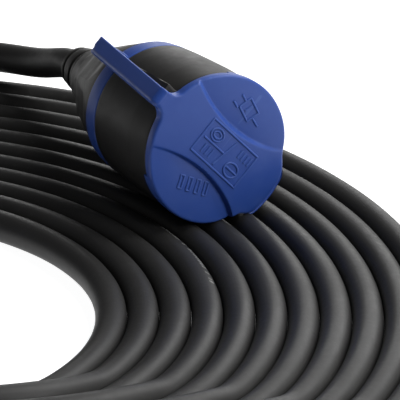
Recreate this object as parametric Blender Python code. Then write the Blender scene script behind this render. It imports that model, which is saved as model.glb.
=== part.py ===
"""Shore power cord: a coiled rubber lead with a capped socket coupling and an industrial plug.

Metres, +Z up. The lead lies on the floor as a flat spiral. The coupling lies across it, with its
axis near the X axis, and the plug lies on the narrow side of the coil. The origin is on the
underside of the coil, below the coupling.
"""

import math

import bmesh
import bpy
import numpy as np
from mathutils import Matrix

MM = 0.001
GAP = 0.3 * MM

# Lead and coil
LEAD_D = 10.8 * MM
LEAD_R = LEAD_D / 2
PITCH = 11.1 * MM
TURNS = 11
COIL_CENTRE = (30.0 * MM, -157.8 * MM)
SEAM_DEG = 151.0
TAIL_TURN = 0.09
LEAVE_TURN = 10.92
STEP_TURN = 0.0006
RISE_TURN = 10.965
RISE_OUTWARD = 1.0 * MM
RISE_HEIGHT = 7.4 * MM
LEAD_OUT_OUTWARD = 1.1 * MM
INNER_RADIUS = 101.05 * MM
INNER_ARC_DEG = (27.0, 118.0)
INNER_CORNER = 47.0 * MM
INNER_BULGES_DEG = (250.0, 291.0)
INNER_BULGE_HALF_DEG = 42.0
OUTER_ARC_DEG = (46.0, 137.0)
OUTER_CORNER = 52.0 * MM
OUTER_BULGES_DEG = (234.0, 334.0)
OUTER_BULGE_HALF_DEG = 63.0
CORNER_BLEND_DEG = 12.0
COIL_STATIONS = 96
COIL_CHAMFER = 2.4 * MM
SHOULDER_PER_LIFT = 0.55
TUBE_STEP = 2.2 * LEAD_D
END_CUT = 0.5 * MM

# Coupling: distances run forward along its axis from the cap's face
COUPLING_ORIGIN = (35.65 * MM, 0.0, 38.7 * MM)
COUPLING_RISE_DEG = 2.8
STRAP_ROLL_DEG = 43.0
CAP_R = 27.6 * MM
CAP_THICKNESS = 3.0 * MM
TAB_REACH = 3.0 * MM
TAB_MIDDLE_DEG = 181.0
TAB_HALF_DEG = 28.0
TAB_FULLNESS = 0.6
CAP_SKIRT_R = 25.9 * MM
CAP_SKIRT_DEPTH = 6.5 * MM
CAP_SKIRT_TOP = 14.0 * MM
CAP_SKIRT_INSET = 0.3 * MM
CAP_SKIRT_OVERLAP = 0.5 * MM
CAP_EDGE = 0.7 * MM
SKIRT_CLEAR_REACH = 40.0 * MM
HINGE_X = -2.0 * MM
HINGE_Z = 32.0 * MM
SEAL_RADII = (18.4 * MM, 19.2 * MM)
SEAL_DEPTH = 7.5 * MM
INSERT_R = 21.7 * MM
INSERT_FRONT = -4.2 * MM
INSERT_REAR = -36.0 * MM
RECESS_R = 19.75 * MM
RECESS_FLOOR = -21.7 * MM
CONTACT_Y = 9.5 * MM
CONTACT_MOUTH_R = 2.75 * MM
CONTACT_ROOM_R = 3.9 * MM
STRAP_WIDTH = 7.0 * MM
STRAP_THICKNESS = 2.2 * MM
STRAP_FRONT = (-2.0 * MM, 0.0, 32.6 * MM)
STRAP_TAB_END = (-64.0 * MM, 5.8 * MM, 26.3 * MM)
STRAP_START = 2.3 * MM
STRAP_EDGE = 0.3 * MM
LAND_SIDES = (-5.2 * MM, 6.6 * MM)
LUG_LOW = (-53.0 * MM, 1.3 * MM, 24.0 * MM)
LUG_HIGH = (-45.2 * MM, 8.3 * MM, 26.25 * MM)
BOOT_SPAN = (-92.0 * MM, -105.0 * MM)
SHEATH_END = -50.0 * MM

# Contact insert and what it holds
MOUTH_SPAN = (-25.0 * MM, -20.0 * MM)
ROOM_SPAN = (-37.0 * MM, -24.0 * MM)
TONGUE_LOW = (-60.0 * MM, -11.0 * MM, -10.6 * MM)
TONGUE_HIGH = (-35.0 * MM, 11.0 * MM, -5.7 * MM)
EARTH_SLOT_SPAN = (-37.0 * MM, -20.0 * MM)
EARTH_SLOT_HALF = 3.4 * MM
EARTH_SLOT_HEIGHTS = (17.5 * MM, 19.4 * MM)
BAR_SLOT_LOW = (-37.8 * MM, -2.6 * MM, -12.0 * MM)
BAR_SLOT_HIGH = (-35.99 * MM, 2.6 * MM, -5.0 * MM)
SLEEVE_BORE = 2.5 * MM
SLEEVE_R = 3.6 * MM
SLEEVE_SPAN = (-40.0 * MM, -24.3 * MM)
SLEEVE_BORE_END = -36.5 * MM
TERMINAL_SPAN = (-42.0 * MM, -37.0 * MM)
TERMINAL_HALF = 3.8 * MM
TERMINAL_SCREW_X = -39.5 * MM
TERMINAL_HOLE_SPAN = (1.0 * MM, 5.0 * MM)
TERMINAL_HOLE_R = 1.6 * MM
EARTH_STRIP_HALF = 2.2 * MM
EARTH_BLOCK_LOW = (-42.0 * MM, -3.4 * MM, 7.0 * MM)
EARTH_BLOCK_HIGH = (-36.9 * MM, 3.4 * MM, 13.0 * MM)
CLAMP_LOW = (-58.0 * MM, -11.0 * MM, 5.7 * MM)
CLAMP_HIGH = (-52.0 * MM, 11.0 * MM, 8.0 * MM)
CLAMP_SCREW_X = -55.0 * MM
CLAMP_SCREW_Y = 8.0 * MM
CLAMP_HOLE_R = 1.8 * MM
CLAMP_HOLE_REACH = 12.0 * MM
CORE_START = -49.7
CORE_END = -42.3
CORE_STEP = 1.6 * MM

# Plug: distances run forward along its axis from the gland nut's rear face
PLUG_ORIGIN = (-15.0 * MM, -225.3 * MM, 47.6 * MM)
CARRIER_FRONT = 97.0 * MM
CARRIER_REAR = 86.0 * MM
PIN_CIRCLE_R = 9.0 * MM
PIN_TIP = 133.0 * MM
LIVE_PIN_R = 2.5 * MM
EARTH_PIN_R = 3.5 * MM
PIN_ANGLES_DEG = {"line": 150.0, "neutral": 30.0, "earth": -90.0}
PIN_REAR = 76.0 * MM
PIN_COLLAR = 1.4 * MM
PIN_CHAMFER = (1.5 * MM, 1.2 * MM)
PIN_HOLE_SPAN = (80.0 * MM, 100.0 * MM)
PIN_SCREW_X = 80.5 * MM
PIN_SCREW_R = 1.3 * MM
PIN_SCREW_FOOT = 1.5 * MM
PIN_SCREW_HEAD = (2.1 * MM, 1.9 * MM)
CARRIER_R = 21.6 * MM
GLAND_SPAN = (4.3 * MM, 16.0 * MM)
GLAND_RADII = (5.7 * MM, 8.9 * MM)
PLUG_SHEATH_END = 42.0 * MM
PLUG_CORE_START = 42.3
PLUG_CORE_STEP = 3.0 * MM
KEY_LOW = (96.0 * MM, -2.6 * MM, -26.2 * MM)
KEY_HIGH = (134.0 * MM, 2.6 * MM, -23.2 * MM)

BIG_SIDES = 48
WIDE_SIDES = 36
MIDDLE_SIDES = 32
LEAD_SIDES = 24
SMALL_SIDES = 20
SCREW_SIDES = 12
CORE_R = 1.25 * MM
MERGE_WITHIN = 1e-7
SHARP_ABOVE_DEG = 32.0
ROUTE_SAMPLES = 60
OUTLINE_STEP_DEG = 0.25
FORWARD = (1.0, 0.0, 0.0)
UP = (0.0, 0.0, 1.0)


# ---------------------------------------------------------------- materials and object helpers


def principled(name, colour, roughness, metallic=0.0):
    material = bpy.data.materials.new(name)
    material.use_nodes = True
    shader = material.node_tree.nodes["Principled BSDF"]
    shader.inputs["Base Color"].default_value = (*colour, 1.0)
    shader.inputs["Roughness"].default_value = roughness
    shader.inputs["Metallic"].default_value = metallic
    material.diffuse_color = (*colour, 1.0)
    return material


def empty(name, location, rotation_deg=(0.0, 0.0, 0.0), parent=None):
    frame = bpy.data.objects.new(name, None)
    frame.location = location
    frame.rotation_euler = [math.radians(angle) for angle in rotation_deg]
    frame.parent = parent
    bpy.context.scene.collection.objects.link(frame)
    return frame


def add_object(name, bm, material=None, parent=None, location=(0.0, 0.0, 0.0), rotation=None):
    """Closes the bmesh into a mesh object, smooth where the faces run round."""
    bmesh.ops.remove_doubles(bm, verts=bm.verts, dist=MERGE_WITHIN)
    bmesh.ops.recalc_face_normals(bm, faces=bm.faces)
    mesh = bpy.data.meshes.new(name)
    bm.to_mesh(mesh)
    bm.free()
    mesh.shade_smooth()
    mesh.set_sharp_from_angle(angle=math.radians(SHARP_ABOVE_DEG))
    obj = bpy.data.objects.new(name, mesh)
    if material:
        mesh.materials.append(material)
    obj.parent = parent
    obj.location = location
    if rotation:
        obj.rotation_euler = rotation
    bpy.context.scene.collection.objects.link(obj)
    return obj


def turned(stations, sides=BIG_SIDES, axis=FORWARD, centre=(0.0, 0.0, 0.0)):
    """A bmesh of (distance, radius) stations turned about an axis through the centre.

    The stations make a loop, or run from the axis back to the axis.
    """
    bm = bmesh.new()
    verts = [bm.verts.new((x, 0.0, r)) for x, r in stations]
    edges = [bm.edges.new(pair) for pair in zip(verts, verts[1:])]
    if stations[0][1] > 0.0 or stations[-1][1] > 0.0:
        edges.append(bm.edges.new((verts[-1], verts[0])))
    bmesh.ops.spin(
        bm,
        geom=verts + edges,
        cent=(0.0, 0.0, 0.0),
        axis=FORWARD,
        angle=2 * math.pi,
        steps=sides,
        use_merge=True,
    )
    if axis == UP:
        bmesh.ops.transform(bm, matrix=Matrix.Rotation(-math.pi / 2, 4, "Y"), verts=bm.verts)
    bmesh.ops.translate(bm, vec=centre, verts=bm.verts)
    return bm


def cylinder(start, end, radius, sides=SMALL_SIDES, axis=FORWARD, centre=(0.0, 0.0, 0.0)):
    stations = [(start, 0.0), (start, radius), (end, radius), (end, 0.0)]
    return turned(stations, sides, axis, centre)


def block(low, high):
    """A box between two corners."""
    bm = bmesh.new()
    size = [b - a for a, b in zip(low, high)]
    middle = [(a + b) / 2 for a, b in zip(low, high)]
    bmesh.ops.create_cube(bm, size=1.0)
    bmesh.ops.scale(bm, vec=size, verts=bm.verts)
    bmesh.ops.translate(bm, vec=middle, verts=bm.verts)
    return bm


def prism(outline, start, end, plane="YZ"):
    """The outline, in the named plane, pushed from start to end along the third axis."""
    bm = bmesh.new()
    if plane == "YZ":
        corners = [(start, u, v) for u, v in outline]
        push = (end - start, 0.0, 0.0)
    else:
        corners = [(u, start, v) for u, v in outline]
        push = (0.0, end - start, 0.0)
    face = bm.faces.new([bm.verts.new(corner) for corner in corners])
    grown = bmesh.ops.extrude_face_region(bm, geom=[face])
    moved = [item for item in grown["geom"] if isinstance(item, bmesh.types.BMVert)]
    bmesh.ops.translate(bm, vec=push, verts=moved)
    return bm


def helper(name, bm, parent=None, location=(0.0, 0.0, 0.0), rotation=None):
    """A shape that only joins or cuts others."""
    obj = add_object(name, bm, None, parent, location, rotation)
    obj.hide_render = True
    obj.display_type = "WIRE"
    return obj


def join_or_cut(target, tool, operation):
    modifier = target.modifiers.new(tool.name, "BOOLEAN")
    modifier.operation = operation
    modifier.solver = "EXACT"
    modifier.object = tool


def tube(name, points, radius, material, parent=None, resolution=2):
    curve = bpy.data.curves.new(name, "CURVE")
    curve.dimensions = "3D"
    curve.bevel_depth = radius
    curve.bevel_resolution = resolution
    curve.use_fill_caps = True
    spline = curve.splines.new("POLY")
    spline.points.add(len(points) - 1)
    for target, point in zip(spline.points, points):
        target.co = (*point, 1.0)
    spline.use_smooth = True
    curve.materials.append(material)
    obj = bpy.data.objects.new(name, curve)
    obj.parent = parent
    bpy.context.scene.collection.objects.link(obj)
    return obj


def smooth_route(knots, start_dir, end_dir, step):
    """Points at even steps along the clamped cubic through the knots, with square-cut ends."""
    knots = np.array(knots)
    span = np.linalg.norm(np.diff(knots, axis=0), axis=1)
    count = len(knots)
    matrix = np.eye(count)
    right = np.zeros((count, 3))
    right[0] = start_dir / np.linalg.norm(start_dir)
    right[-1] = end_dir / np.linalg.norm(end_dir)
    for i in range(1, count - 1):
        before, after = span[i - 1], span[i]
        matrix[i, i - 1 : i + 2] = (1 / before, 2 / before + 2 / after, 1 / after)
        right[i] = 3 * (knots[i] - knots[i - 1]) / before**2
        right[i] += 3 * (knots[i + 1] - knots[i]) / after**2
    slope = np.linalg.solve(matrix, right)
    fine = []
    for i in range(count - 1):
        for u in np.linspace(0.0, 1.0, ROUTE_SAMPLES, endpoint=i == count - 2):
            fine.append(
                (2 * u**3 - 3 * u**2 + 1) * knots[i]
                + (u**3 - 2 * u**2 + u) * span[i] * slope[i]
                + (3 * u**2 - 2 * u**3) * knots[i + 1]
                + (u**3 - u**2) * span[i] * slope[i + 1]
            )
    fine = np.array(fine)
    along = np.concatenate([[0.0], np.cumsum(np.linalg.norm(np.diff(fine, axis=0), axis=1))])
    stops = np.linspace(0.0, along[-1], max(3, round(along[-1] / step) + 1))
    stops = np.concatenate([stops[:1], [END_CUT], stops[1:-1], [along[-1] - END_CUT], stops[-1:]])
    return np.stack([np.interp(stops, along, fine[:, k]) for k in range(3)], axis=1)


# ---------------------------------------------------------------- coil outline


def outline_support(radius, arc_deg, corner, bulges_deg, half_deg):
    """The distance of a turn's tangent from the coil's centre, and its slope, by direction.

    The turn is a true circle over the arc. Away from it the bend tightens to the corner radius,
    and two bulges of larger radius close the loop.
    """
    grid = np.radians(np.arange(-180.0, 180.0 + OUTLINE_STEP_DEG, OUTLINE_STEP_DEG))

    def away(centre_deg):
        return (grid - math.radians(centre_deg) + math.pi) % (2 * math.pi) - math.pi

    def eased(x):
        x = np.clip(x, 0.0, 1.0)
        return x * x * (3 - 2 * x)

    middle = sum(arc_deg) / 2
    half = math.radians(arc_deg[1] - arc_deg[0]) / 2
    weight = eased((np.abs(away(middle)) - half) / math.radians(CORNER_BLEND_DEG))
    base = -(radius - corner) * weight
    reach = math.radians(half_deg)
    humps = []
    for bulge in bulges_deg:
        off = away(bulge)
        hump = np.where(np.abs(off) < reach, np.cos(math.pi * off / (2 * reach)) ** 2, 0)
        humps.append(hump * weight)
    closing = [[np.sum(hump[:-1] * f(grid[:-1])) for hump in humps] for f in (np.cos, np.sin)]
    open_by = [-np.sum(base[:-1] * f(grid[:-1])) for f in (np.cos, np.sin)]
    amounts = np.linalg.solve(closing, open_by)
    change = base + amounts[0] * humps[0] + amounts[1] * humps[1]
    start = int(np.argmin(np.abs(away(middle))))
    step = grid[1] - grid[0]

    def running(values):
        total = np.concatenate([[0.0], np.cumsum((values[1:] + values[:-1]) / 2 * step)])
        return total - total[start]

    cosine, sine = running(change * np.cos(grid)), running(change * np.sin(grid))
    support = radius + np.sin(grid) * cosine - np.cos(grid) * sine
    slope = np.cos(grid) * cosine + np.sin(grid) * sine
    return grid, support, slope


INNER = outline_support(INNER_RADIUS, INNER_ARC_DEG, INNER_CORNER, INNER_BULGES_DEG, INNER_BULGE_HALF_DEG)
OUTER = outline_support(
    INNER_RADIUS + TURNS * PITCH, OUTER_ARC_DEG, OUTER_CORNER, OUTER_BULGES_DEG, OUTER_BULGE_HALF_DEG
)


def read_outline(outline, angle):
    angle = (angle + math.pi) % (2 * math.pi) - math.pi
    return np.interp(angle, outline[0], outline[1]), np.interp(angle, outline[0], outline[2])


def turn_gap(angle):
    """Distance between neighbouring turns in this direction."""
    return (read_outline(OUTER, angle)[0] - read_outline(INNER, angle)[0]) / TURNS


def lead_line(turn, outward=0.0):
    """A point on the spiral's centre line after so many turns, moved outward from the centre."""
    angle = math.radians(SEAM_DEG) - 2 * math.pi * turn
    inner, inner_slope = read_outline(INNER, angle)
    outer, outer_slope = read_outline(OUTER, angle)
    support = inner + (outer - inner) * turn / TURNS
    slope = inner_slope + (outer_slope - inner_slope) * turn / TURNS
    slope -= (outer - inner) / TURNS / (2 * math.pi)
    support += outward
    x = support * math.cos(angle) - slope * math.sin(angle)
    y = support * math.sin(angle) + slope * math.cos(angle)
    return np.array((COIL_CENTRE[0] + x, COIL_CENTRE[1] + y))


def coil_section(turn):
    """Inner and outer edge of the ring at this part of a turn, and the height of its top.

    The first and last stretches of the lead rise off the floor, so they aren't part of the ring.
    """
    first = turn + 1 if turn < TAIL_TURN else turn
    last = turn + TURNS - 1
    if last > LEAVE_TURN:
        last -= 1
    gap = turn_gap(math.radians(SEAM_DEG) - 2 * math.pi * turn)
    lift = math.sqrt(max(0.0, LEAD_D**2 - gap**2))
    return lead_line(first, -LEAD_R), lead_line(last, LEAD_R), lift


def coil_shape():
    """The coil's outer shape: a ring, one lead high where the turns lie flat side by side.

    Where the turns crowd, every second one is lifted, so the ring is higher there.
    """
    leave = LEAVE_TURN - TURNS + 1
    steps = [TAIL_TURN - STEP_TURN, TAIL_TURN + STEP_TURN, leave - STEP_TURN, leave + STEP_TURN]
    even = [k / COIL_STATIONS for k in range(COIL_STATIONS)]
    even = [turn for turn in even if min(abs(turn - TAIL_TURN), abs(turn - leave)) > 3 * STEP_TURN]
    bm = bmesh.new()
    rows = []
    for turn in sorted(even + steps):
        inside, outside, lift = coil_section(turn)
        across = outside - inside
        width = np.linalg.norm(across)
        across /= width
        top = LEAD_D + lift
        shoulder = COIL_CHAMFER + SHOULDER_PER_LIFT * lift
        section = (
            (COIL_CHAMFER, 0.0),
            (0.0, COIL_CHAMFER),
            (0.0, LEAD_D - COIL_CHAMFER),
            (shoulder, top),
            (width - shoulder, top),
            (width, LEAD_D - COIL_CHAMFER),
            (width, COIL_CHAMFER),
            (width - COIL_CHAMFER, 0.0),
        )
        rows.append([bm.verts.new((*(inside + across * u), z)) for u, z in section])
    for row, following in zip(rows, rows[1:] + rows[:1]):
        for k in range(len(row)):
            j = (k + 1) % len(row)
            bm.faces.new((row[k], row[j], following[j], following[k]))
    return bm


# ---------------------------------------------------------------- build

for old in list(bpy.data.objects):
    bpy.data.objects.remove(old)

rubber = principled("black_rubber", (0.028, 0.027, 0.026), 0.62)
lead_rubber = principled("lead_rubber", (0.030, 0.029, 0.028), 0.58)
blue_tpe = principled("blue_elastomer", (0.035, 0.065, 0.25), 0.5)
blue_shell = principled("blue_polyamide", (0.02, 0.12, 0.42), 0.4)
pale_shell = principled("grey_thermoset", (0.36, 0.37, 0.38), 0.5)
dark_insert = principled("black_thermoset", (0.02, 0.02, 0.022), 0.45)
brass = principled("nickelled_brass", (0.72, 0.68, 0.55), 0.3, 1.0)
steel = principled("zinc_plated_steel", (0.62, 0.63, 0.64), 0.35, 1.0)
seal_rubber = principled("seal_rubber", (0.05, 0.05, 0.05), 0.7)
brown = principled("brown_core", (0.16, 0.06, 0.03), 0.5)
blue = principled("blue_core", (0.03, 0.15, 0.5), 0.5)
green_yellow = principled("earth_core", (0.45, 0.5, 0.05), 0.5)

# Coil and the two free stretches of the lead

add_object("cable_coil", coil_shape(), lead_rubber)

coupling = empty("coupling_axis", COUPLING_ORIGIN, (0.0, -COUPLING_RISE_DEG, 0.0))
rise = math.radians(COUPLING_RISE_DEG)
coupling_dir = np.array((math.cos(rise), 0.0, math.sin(rise)))
boot_end = np.array(COUPLING_ORIGIN) + coupling_dir * (BOOT_SPAN[1] - GAP)


def onward(turn):
    """The lead's heading after so many turns."""
    angle = math.radians(SEAM_DEG) - 2 * math.pi * turn
    return np.array((math.sin(angle), -math.cos(angle), 0.0))


lead_out_start = np.array((*lead_line(LEAVE_TURN + 2 * STEP_TURN, LEAD_OUT_OUTWARD), LEAD_R))
lead_out_rise = np.array((*lead_line(RISE_TURN, RISE_OUTWARD), RISE_HEIGHT))
LEAD_OUT_VIA = (
    (-145.5, -18.0, 13.9),
    (-122.0, -3.8, 19.4),
    (-95.0, 0.2, 25.9),
)
lead_out_knots = [lead_out_start, lead_out_rise, *(np.array(LEAD_OUT_VIA) * MM), boot_end]
lead_out = smooth_route(lead_out_knots, onward(LEAVE_TURN), coupling_dir, TUBE_STEP)
tube("cable_lead_out", lead_out, LEAD_R, lead_rubber)

tail_start = np.array((*lead_line(TAIL_TURN - 3 * STEP_TURN), LEAD_R))
TAIL_VIA = (
    (-40.7, -88.8, 10.7),
    (-50.6, -108.1, 21.0),
    (-71.1, -146.6, 36.7),
    (-70.9, -189.3, 44.2),
    (-42.4, -219.5, 48.6),
)
tail_end = np.array(PLUG_ORIGIN) - np.array((GAP, 0.0, 0.0))
tail_knots = [tail_start, *(np.array(TAIL_VIA) * MM), tail_end]
tail = smooth_route(tail_knots, -onward(TAIL_TURN), np.array(FORWARD), TUBE_STEP)
tube("cable_tail", tail, LEAD_R, lead_rubber)

# Coupling body: one turned rubber moulding, open at the front, with the lead's bore behind

BODY_OUTSIDE = (
    (-3.4, 24.7),
    (-3.9, 25.2),
    (-7.0, 25.2),
    (-7.0, 26.1),
    (-7.6, 26.6),
    (-18.0, 26.8),
    (-30.0, 26.4),
    (-38.0, 26.05),
    (-44.9, 25.6),
    (-44.9, 23.2),
    (-53.3, 23.2),
    (-53.3, 24.05),
    (-56.0, 23.5),
    (-60.0, 22.3),
    (-66.0, 20.5),
    (-72.0, 18.5),
    (-76.0, 17.1),
    (-81.0, 14.8),
    (-86.0, 12.5),
    (-91.7, 10.7),
)
BODY_INSIDE = (
    (-91.7, 5.7),
    (-72.0, 5.7),
    (-62.0, 16.0),
    (-38.0, 16.0),
    (-38.0, 22.0),
    (-3.4, 22.0),
)
body_profile = [(x * MM, r * MM) for x, r in BODY_OUTSIDE + BODY_INSIDE]
body = add_object("coupling_body", turned(body_profile), rubber, coupling)

strap_roll = empty("strap_roll", (0.0, 0.0, 0.0), (STRAP_ROLL_DEG, 0.0, 0.0), coupling)
STRAP_LAND = ((-7.3, 24.2), (-44.6, 24.2), (-44.6, 26.7), (-7.3, 30.4))
land_outline = [(x * MM, z * MM) for x, z in STRAP_LAND]
strap_land = helper("strap_land", prism(land_outline, *LAND_SIDES, "XZ"), strap_roll)
join_or_cut(body, strap_land, "UNION")

BOOT_PROFILE = (
    (-92.0, 9.9),
    (-95.1, 9.3),
    (-95.1, 7.4),
    (-96.7, 7.4),
    (-96.7, 8.9),
    (-101.6, 8.1),
    (-101.6, 6.6),
    (-103.0, 6.6),
    (-103.0, 7.7),
    (-105.0, 7.3),
    (-105.0, 5.7),
    (-92.0, 5.7),
)
boot_profile = [(x * MM, r * MM) for x, r in BOOT_PROFILE]
add_object("cable_boot", turned(boot_profile, MIDDLE_SIDES), rubber, coupling)

sheath_in_coupling = cylinder(BOOT_SPAN[1], SHEATH_END, LEAD_R, LEAD_SIDES)
add_object("coupling_sheath_end", sheath_in_coupling, lead_rubber, coupling)

# Collar ring with its lug, strap, cap and cap seal

RING_PROFILE = ((-45.2, 25.5), (-53.0, 24.7), (-53.0, 23.5), (-45.2, 23.5))
ring_profile = [(x * MM, r * MM) for x, r in RING_PROFILE]
ring = add_object("collar_ring", turned(ring_profile), blue_tpe, coupling)
lug = helper("collar_lug", block(LUG_LOW, LUG_HIGH), strap_roll)
join_or_cut(ring, lug, "UNION")

strap_vector = np.array(STRAP_FRONT) - np.array(STRAP_TAB_END)
strap_length = float(np.linalg.norm(strap_vector))
strap_yaw = math.atan2(strap_vector[1], strap_vector[0])
strap_pitch = -math.asin(strap_vector[2] / strap_length)
strap_shape = block(
    (0.0, -STRAP_WIDTH / 2, -STRAP_THICKNESS / 2),
    (strap_length - STRAP_START, STRAP_WIDTH / 2, STRAP_THICKNESS / 2),
)
bmesh.ops.bevel(strap_shape, geom=strap_shape.edges[:], offset=STRAP_EDGE, segments=1, affect="EDGES")
add_object("strap", strap_shape, blue_tpe, strap_roll, STRAP_TAB_END, (0.0, strap_pitch, strap_yaw))

cap_hinge = empty("cap_hinge", (HINGE_X, 0.0, HINGE_Z), (0.0, 0.0, 0.0), strap_roll)
EAR = ((12.0, 24.86), (7.0, 28.5), (4.0, 30.6), (3.5, 33.0))
ear = [(y * MM, z * MM) for y, z in EAR]
ear_from = math.atan2(ear[0][1], ear[0][0])
rim_points = []
for k in range(1, BIG_SIDES):
    angle = math.pi - ear_from + (math.pi + 2 * ear_from) * k / BIG_SIDES
    from_strap_deg = 90.0 - math.degrees(angle)
    off_tab = (from_strap_deg - TAB_MIDDLE_DEG + 180.0) % 360.0 - 180.0
    tab = TAB_REACH * math.cos(math.pi / 2 * min(1.0, abs(off_tab) / TAB_HALF_DEG)) ** TAB_FULLNESS
    rim_points.append(((CAP_R + tab) * math.cos(angle), (CAP_R + tab) * math.sin(angle)))
cap_outline = ear + [(-y, z) for y, z in reversed(ear)] + rim_points
cap_plate = prism(cap_outline, -CAP_THICKNESS, 0.0)
front_from = -CAP_THICKNESS / 2
rim_edges = [edge for edge in cap_plate.edges if all(vert.co.x > front_from for vert in edge.verts)]
bmesh.ops.bevel(cap_plate, geom=rim_edges, offset=CAP_EDGE, segments=1, affect="EDGES")
bmesh.ops.translate(cap_plate, vec=(-HINGE_X, 0.0, -HINGE_Z), verts=cap_plate.verts)
cap = add_object("cap", cap_plate, blue_tpe, cap_hinge)

skirt_profile = [
    (-CAP_SKIRT_DEPTH, CAP_SKIRT_R),
    (-CAP_SKIRT_DEPTH, CAP_R - CAP_SKIRT_INSET),
    (-CAP_THICKNESS + CAP_SKIRT_OVERLAP, CAP_R - CAP_SKIRT_INSET),
    (-CAP_THICKNESS + CAP_SKIRT_OVERLAP, CAP_SKIRT_R),
]
skirt_off_hinge = (-HINGE_X, 0.0, -HINGE_Z)
skirt = helper("cap_skirt", turned(skirt_profile), cap_hinge, skirt_off_hinge)
clear_low = (-SKIRT_CLEAR_REACH, -SKIRT_CLEAR_REACH, CAP_SKIRT_TOP)
skirt_clear = block(clear_low, (SKIRT_CLEAR_REACH,) * 3)
join_or_cut(skirt, helper("skirt_clearance", skirt_clear, cap_hinge, skirt_off_hinge), "DIFFERENCE")
join_or_cut(cap, skirt, "UNION")

seal_profile = [
    (-CAP_THICKNESS - GAP, SEAL_RADII[0]),
    (-SEAL_DEPTH, SEAL_RADII[0]),
    (-SEAL_DEPTH, SEAL_RADII[1]),
    (-CAP_THICKNESS - GAP, SEAL_RADII[1]),
]
add_object("cap_seal", turned(seal_profile), seal_rubber, cap_hinge, skirt_off_hinge)

# Socket insert: a round recess, two contact rooms, slots for the earth springs, a rear tongue

insert_profile = [
    (INSERT_FRONT, RECESS_R),
    (INSERT_FRONT, INSERT_R),
    (INSERT_REAR, INSERT_R),
    (INSERT_REAR, 0.0),
    (RECESS_FLOOR, 0.0),
    (RECESS_FLOOR, RECESS_R),
]
insert_profile = insert_profile[3::-1] + insert_profile[:3:-1]
insert = add_object("contact_insert", turned(insert_profile), dark_insert, coupling)
tongue = helper("clamp_tongue", block(TONGUE_LOW, TONGUE_HIGH), coupling)
join_or_cut(insert, tongue, "UNION")
for side, label in ((-1, "live"), (1, "neutral")):
    centre = (0.0, side * CONTACT_Y, 0.0)
    mouth = cylinder(*MOUTH_SPAN, CONTACT_MOUTH_R, SMALL_SIDES, centre=centre)
    room = cylinder(*ROOM_SPAN, CONTACT_ROOM_R, SMALL_SIDES, centre=centre)
    join_or_cut(insert, helper(label + "_mouth", mouth, coupling), "DIFFERENCE")
    join_or_cut(insert, helper(label + "_room", room, coupling), "DIFFERENCE")
for side, label in ((-1, "lower"), (1, "upper")):
    heights = sorted(side * height for height in EARTH_SLOT_HEIGHTS)
    slot_low = (EARTH_SLOT_SPAN[0], -EARTH_SLOT_HALF, heights[0])
    slot = block(slot_low, (EARTH_SLOT_SPAN[1], EARTH_SLOT_HALF, heights[1]))
    join_or_cut(insert, helper(label + "_earth_slot", slot, coupling), "DIFFERENCE")
bar_slot = block(BAR_SLOT_LOW, BAR_SLOT_HIGH)
join_or_cut(insert, helper("earth_bar_slot", bar_slot, coupling), "DIFFERENCE")

TERMINAL_SCREW = ((1.5, 0.0), (1.5, 1.3), (4.2, 1.3), (4.2, 2.2), (5.8, 2.2), (5.8, 0.0))
for side, label in ((-1, "live"), (1, "neutral")):
    centre = (0.0, side * CONTACT_Y, 0.0)
    sleeve_profile = [
        (SLEEVE_SPAN[1], SLEEVE_BORE),
        (SLEEVE_SPAN[1], SLEEVE_R),
        (SLEEVE_SPAN[0], SLEEVE_R),
        (SLEEVE_SPAN[0], 0.0),
        (SLEEVE_BORE_END, 0.0),
        (SLEEVE_BORE_END, SLEEVE_BORE),
    ]
    sleeve_profile = sleeve_profile[3::-1] + sleeve_profile[:3:-1]
    sleeve_shape = turned(sleeve_profile, SMALL_SIDES, centre=centre)
    sleeve = add_object(label + "_contact", sleeve_shape, brass, coupling)
    low = (TERMINAL_SPAN[0], side * CONTACT_Y - TERMINAL_HALF, -TERMINAL_HALF)
    high = (TERMINAL_SPAN[1], side * CONTACT_Y + TERMINAL_HALF, TERMINAL_HALF)
    join_or_cut(sleeve, helper(label + "_terminal", block(low, high), coupling), "UNION")
    hole_centre = (TERMINAL_SCREW_X, side * CONTACT_Y, 0.0)
    hole = cylinder(*TERMINAL_HOLE_SPAN, TERMINAL_HOLE_R, SCREW_SIDES, UP, hole_centre)
    join_or_cut(sleeve, helper(label + "_screw_hole", hole, coupling), "DIFFERENCE")
    screw_profile = [(z * MM, r * MM) for z, r in TERMINAL_SCREW]
    screw = turned(screw_profile, SCREW_SIDES, UP, hole_centre)
    add_object(label + "_contact_screw", screw, steel, coupling)

earth_outline = (
    (-9.0, 18.0),
    (-9.0, 18.9),
    (-37.3, 18.9),
    (-37.3, -18.9),
    (-9.0, -18.9),
    (-9.0, -18.0),
    (-36.4, -18.0),
    (-36.4, 18.0),
)
earth_outline = [(x * MM, z * MM) for x, z in earth_outline]
earth_bracket = prism(earth_outline, -EARTH_STRIP_HALF, EARTH_STRIP_HALF, "XZ")
bracket = add_object("earth_bracket", earth_bracket, brass, coupling)
earth_terminal = helper("earth_terminal", block(EARTH_BLOCK_LOW, EARTH_BLOCK_HIGH), coupling)
join_or_cut(bracket, earth_terminal, "UNION")

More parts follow.
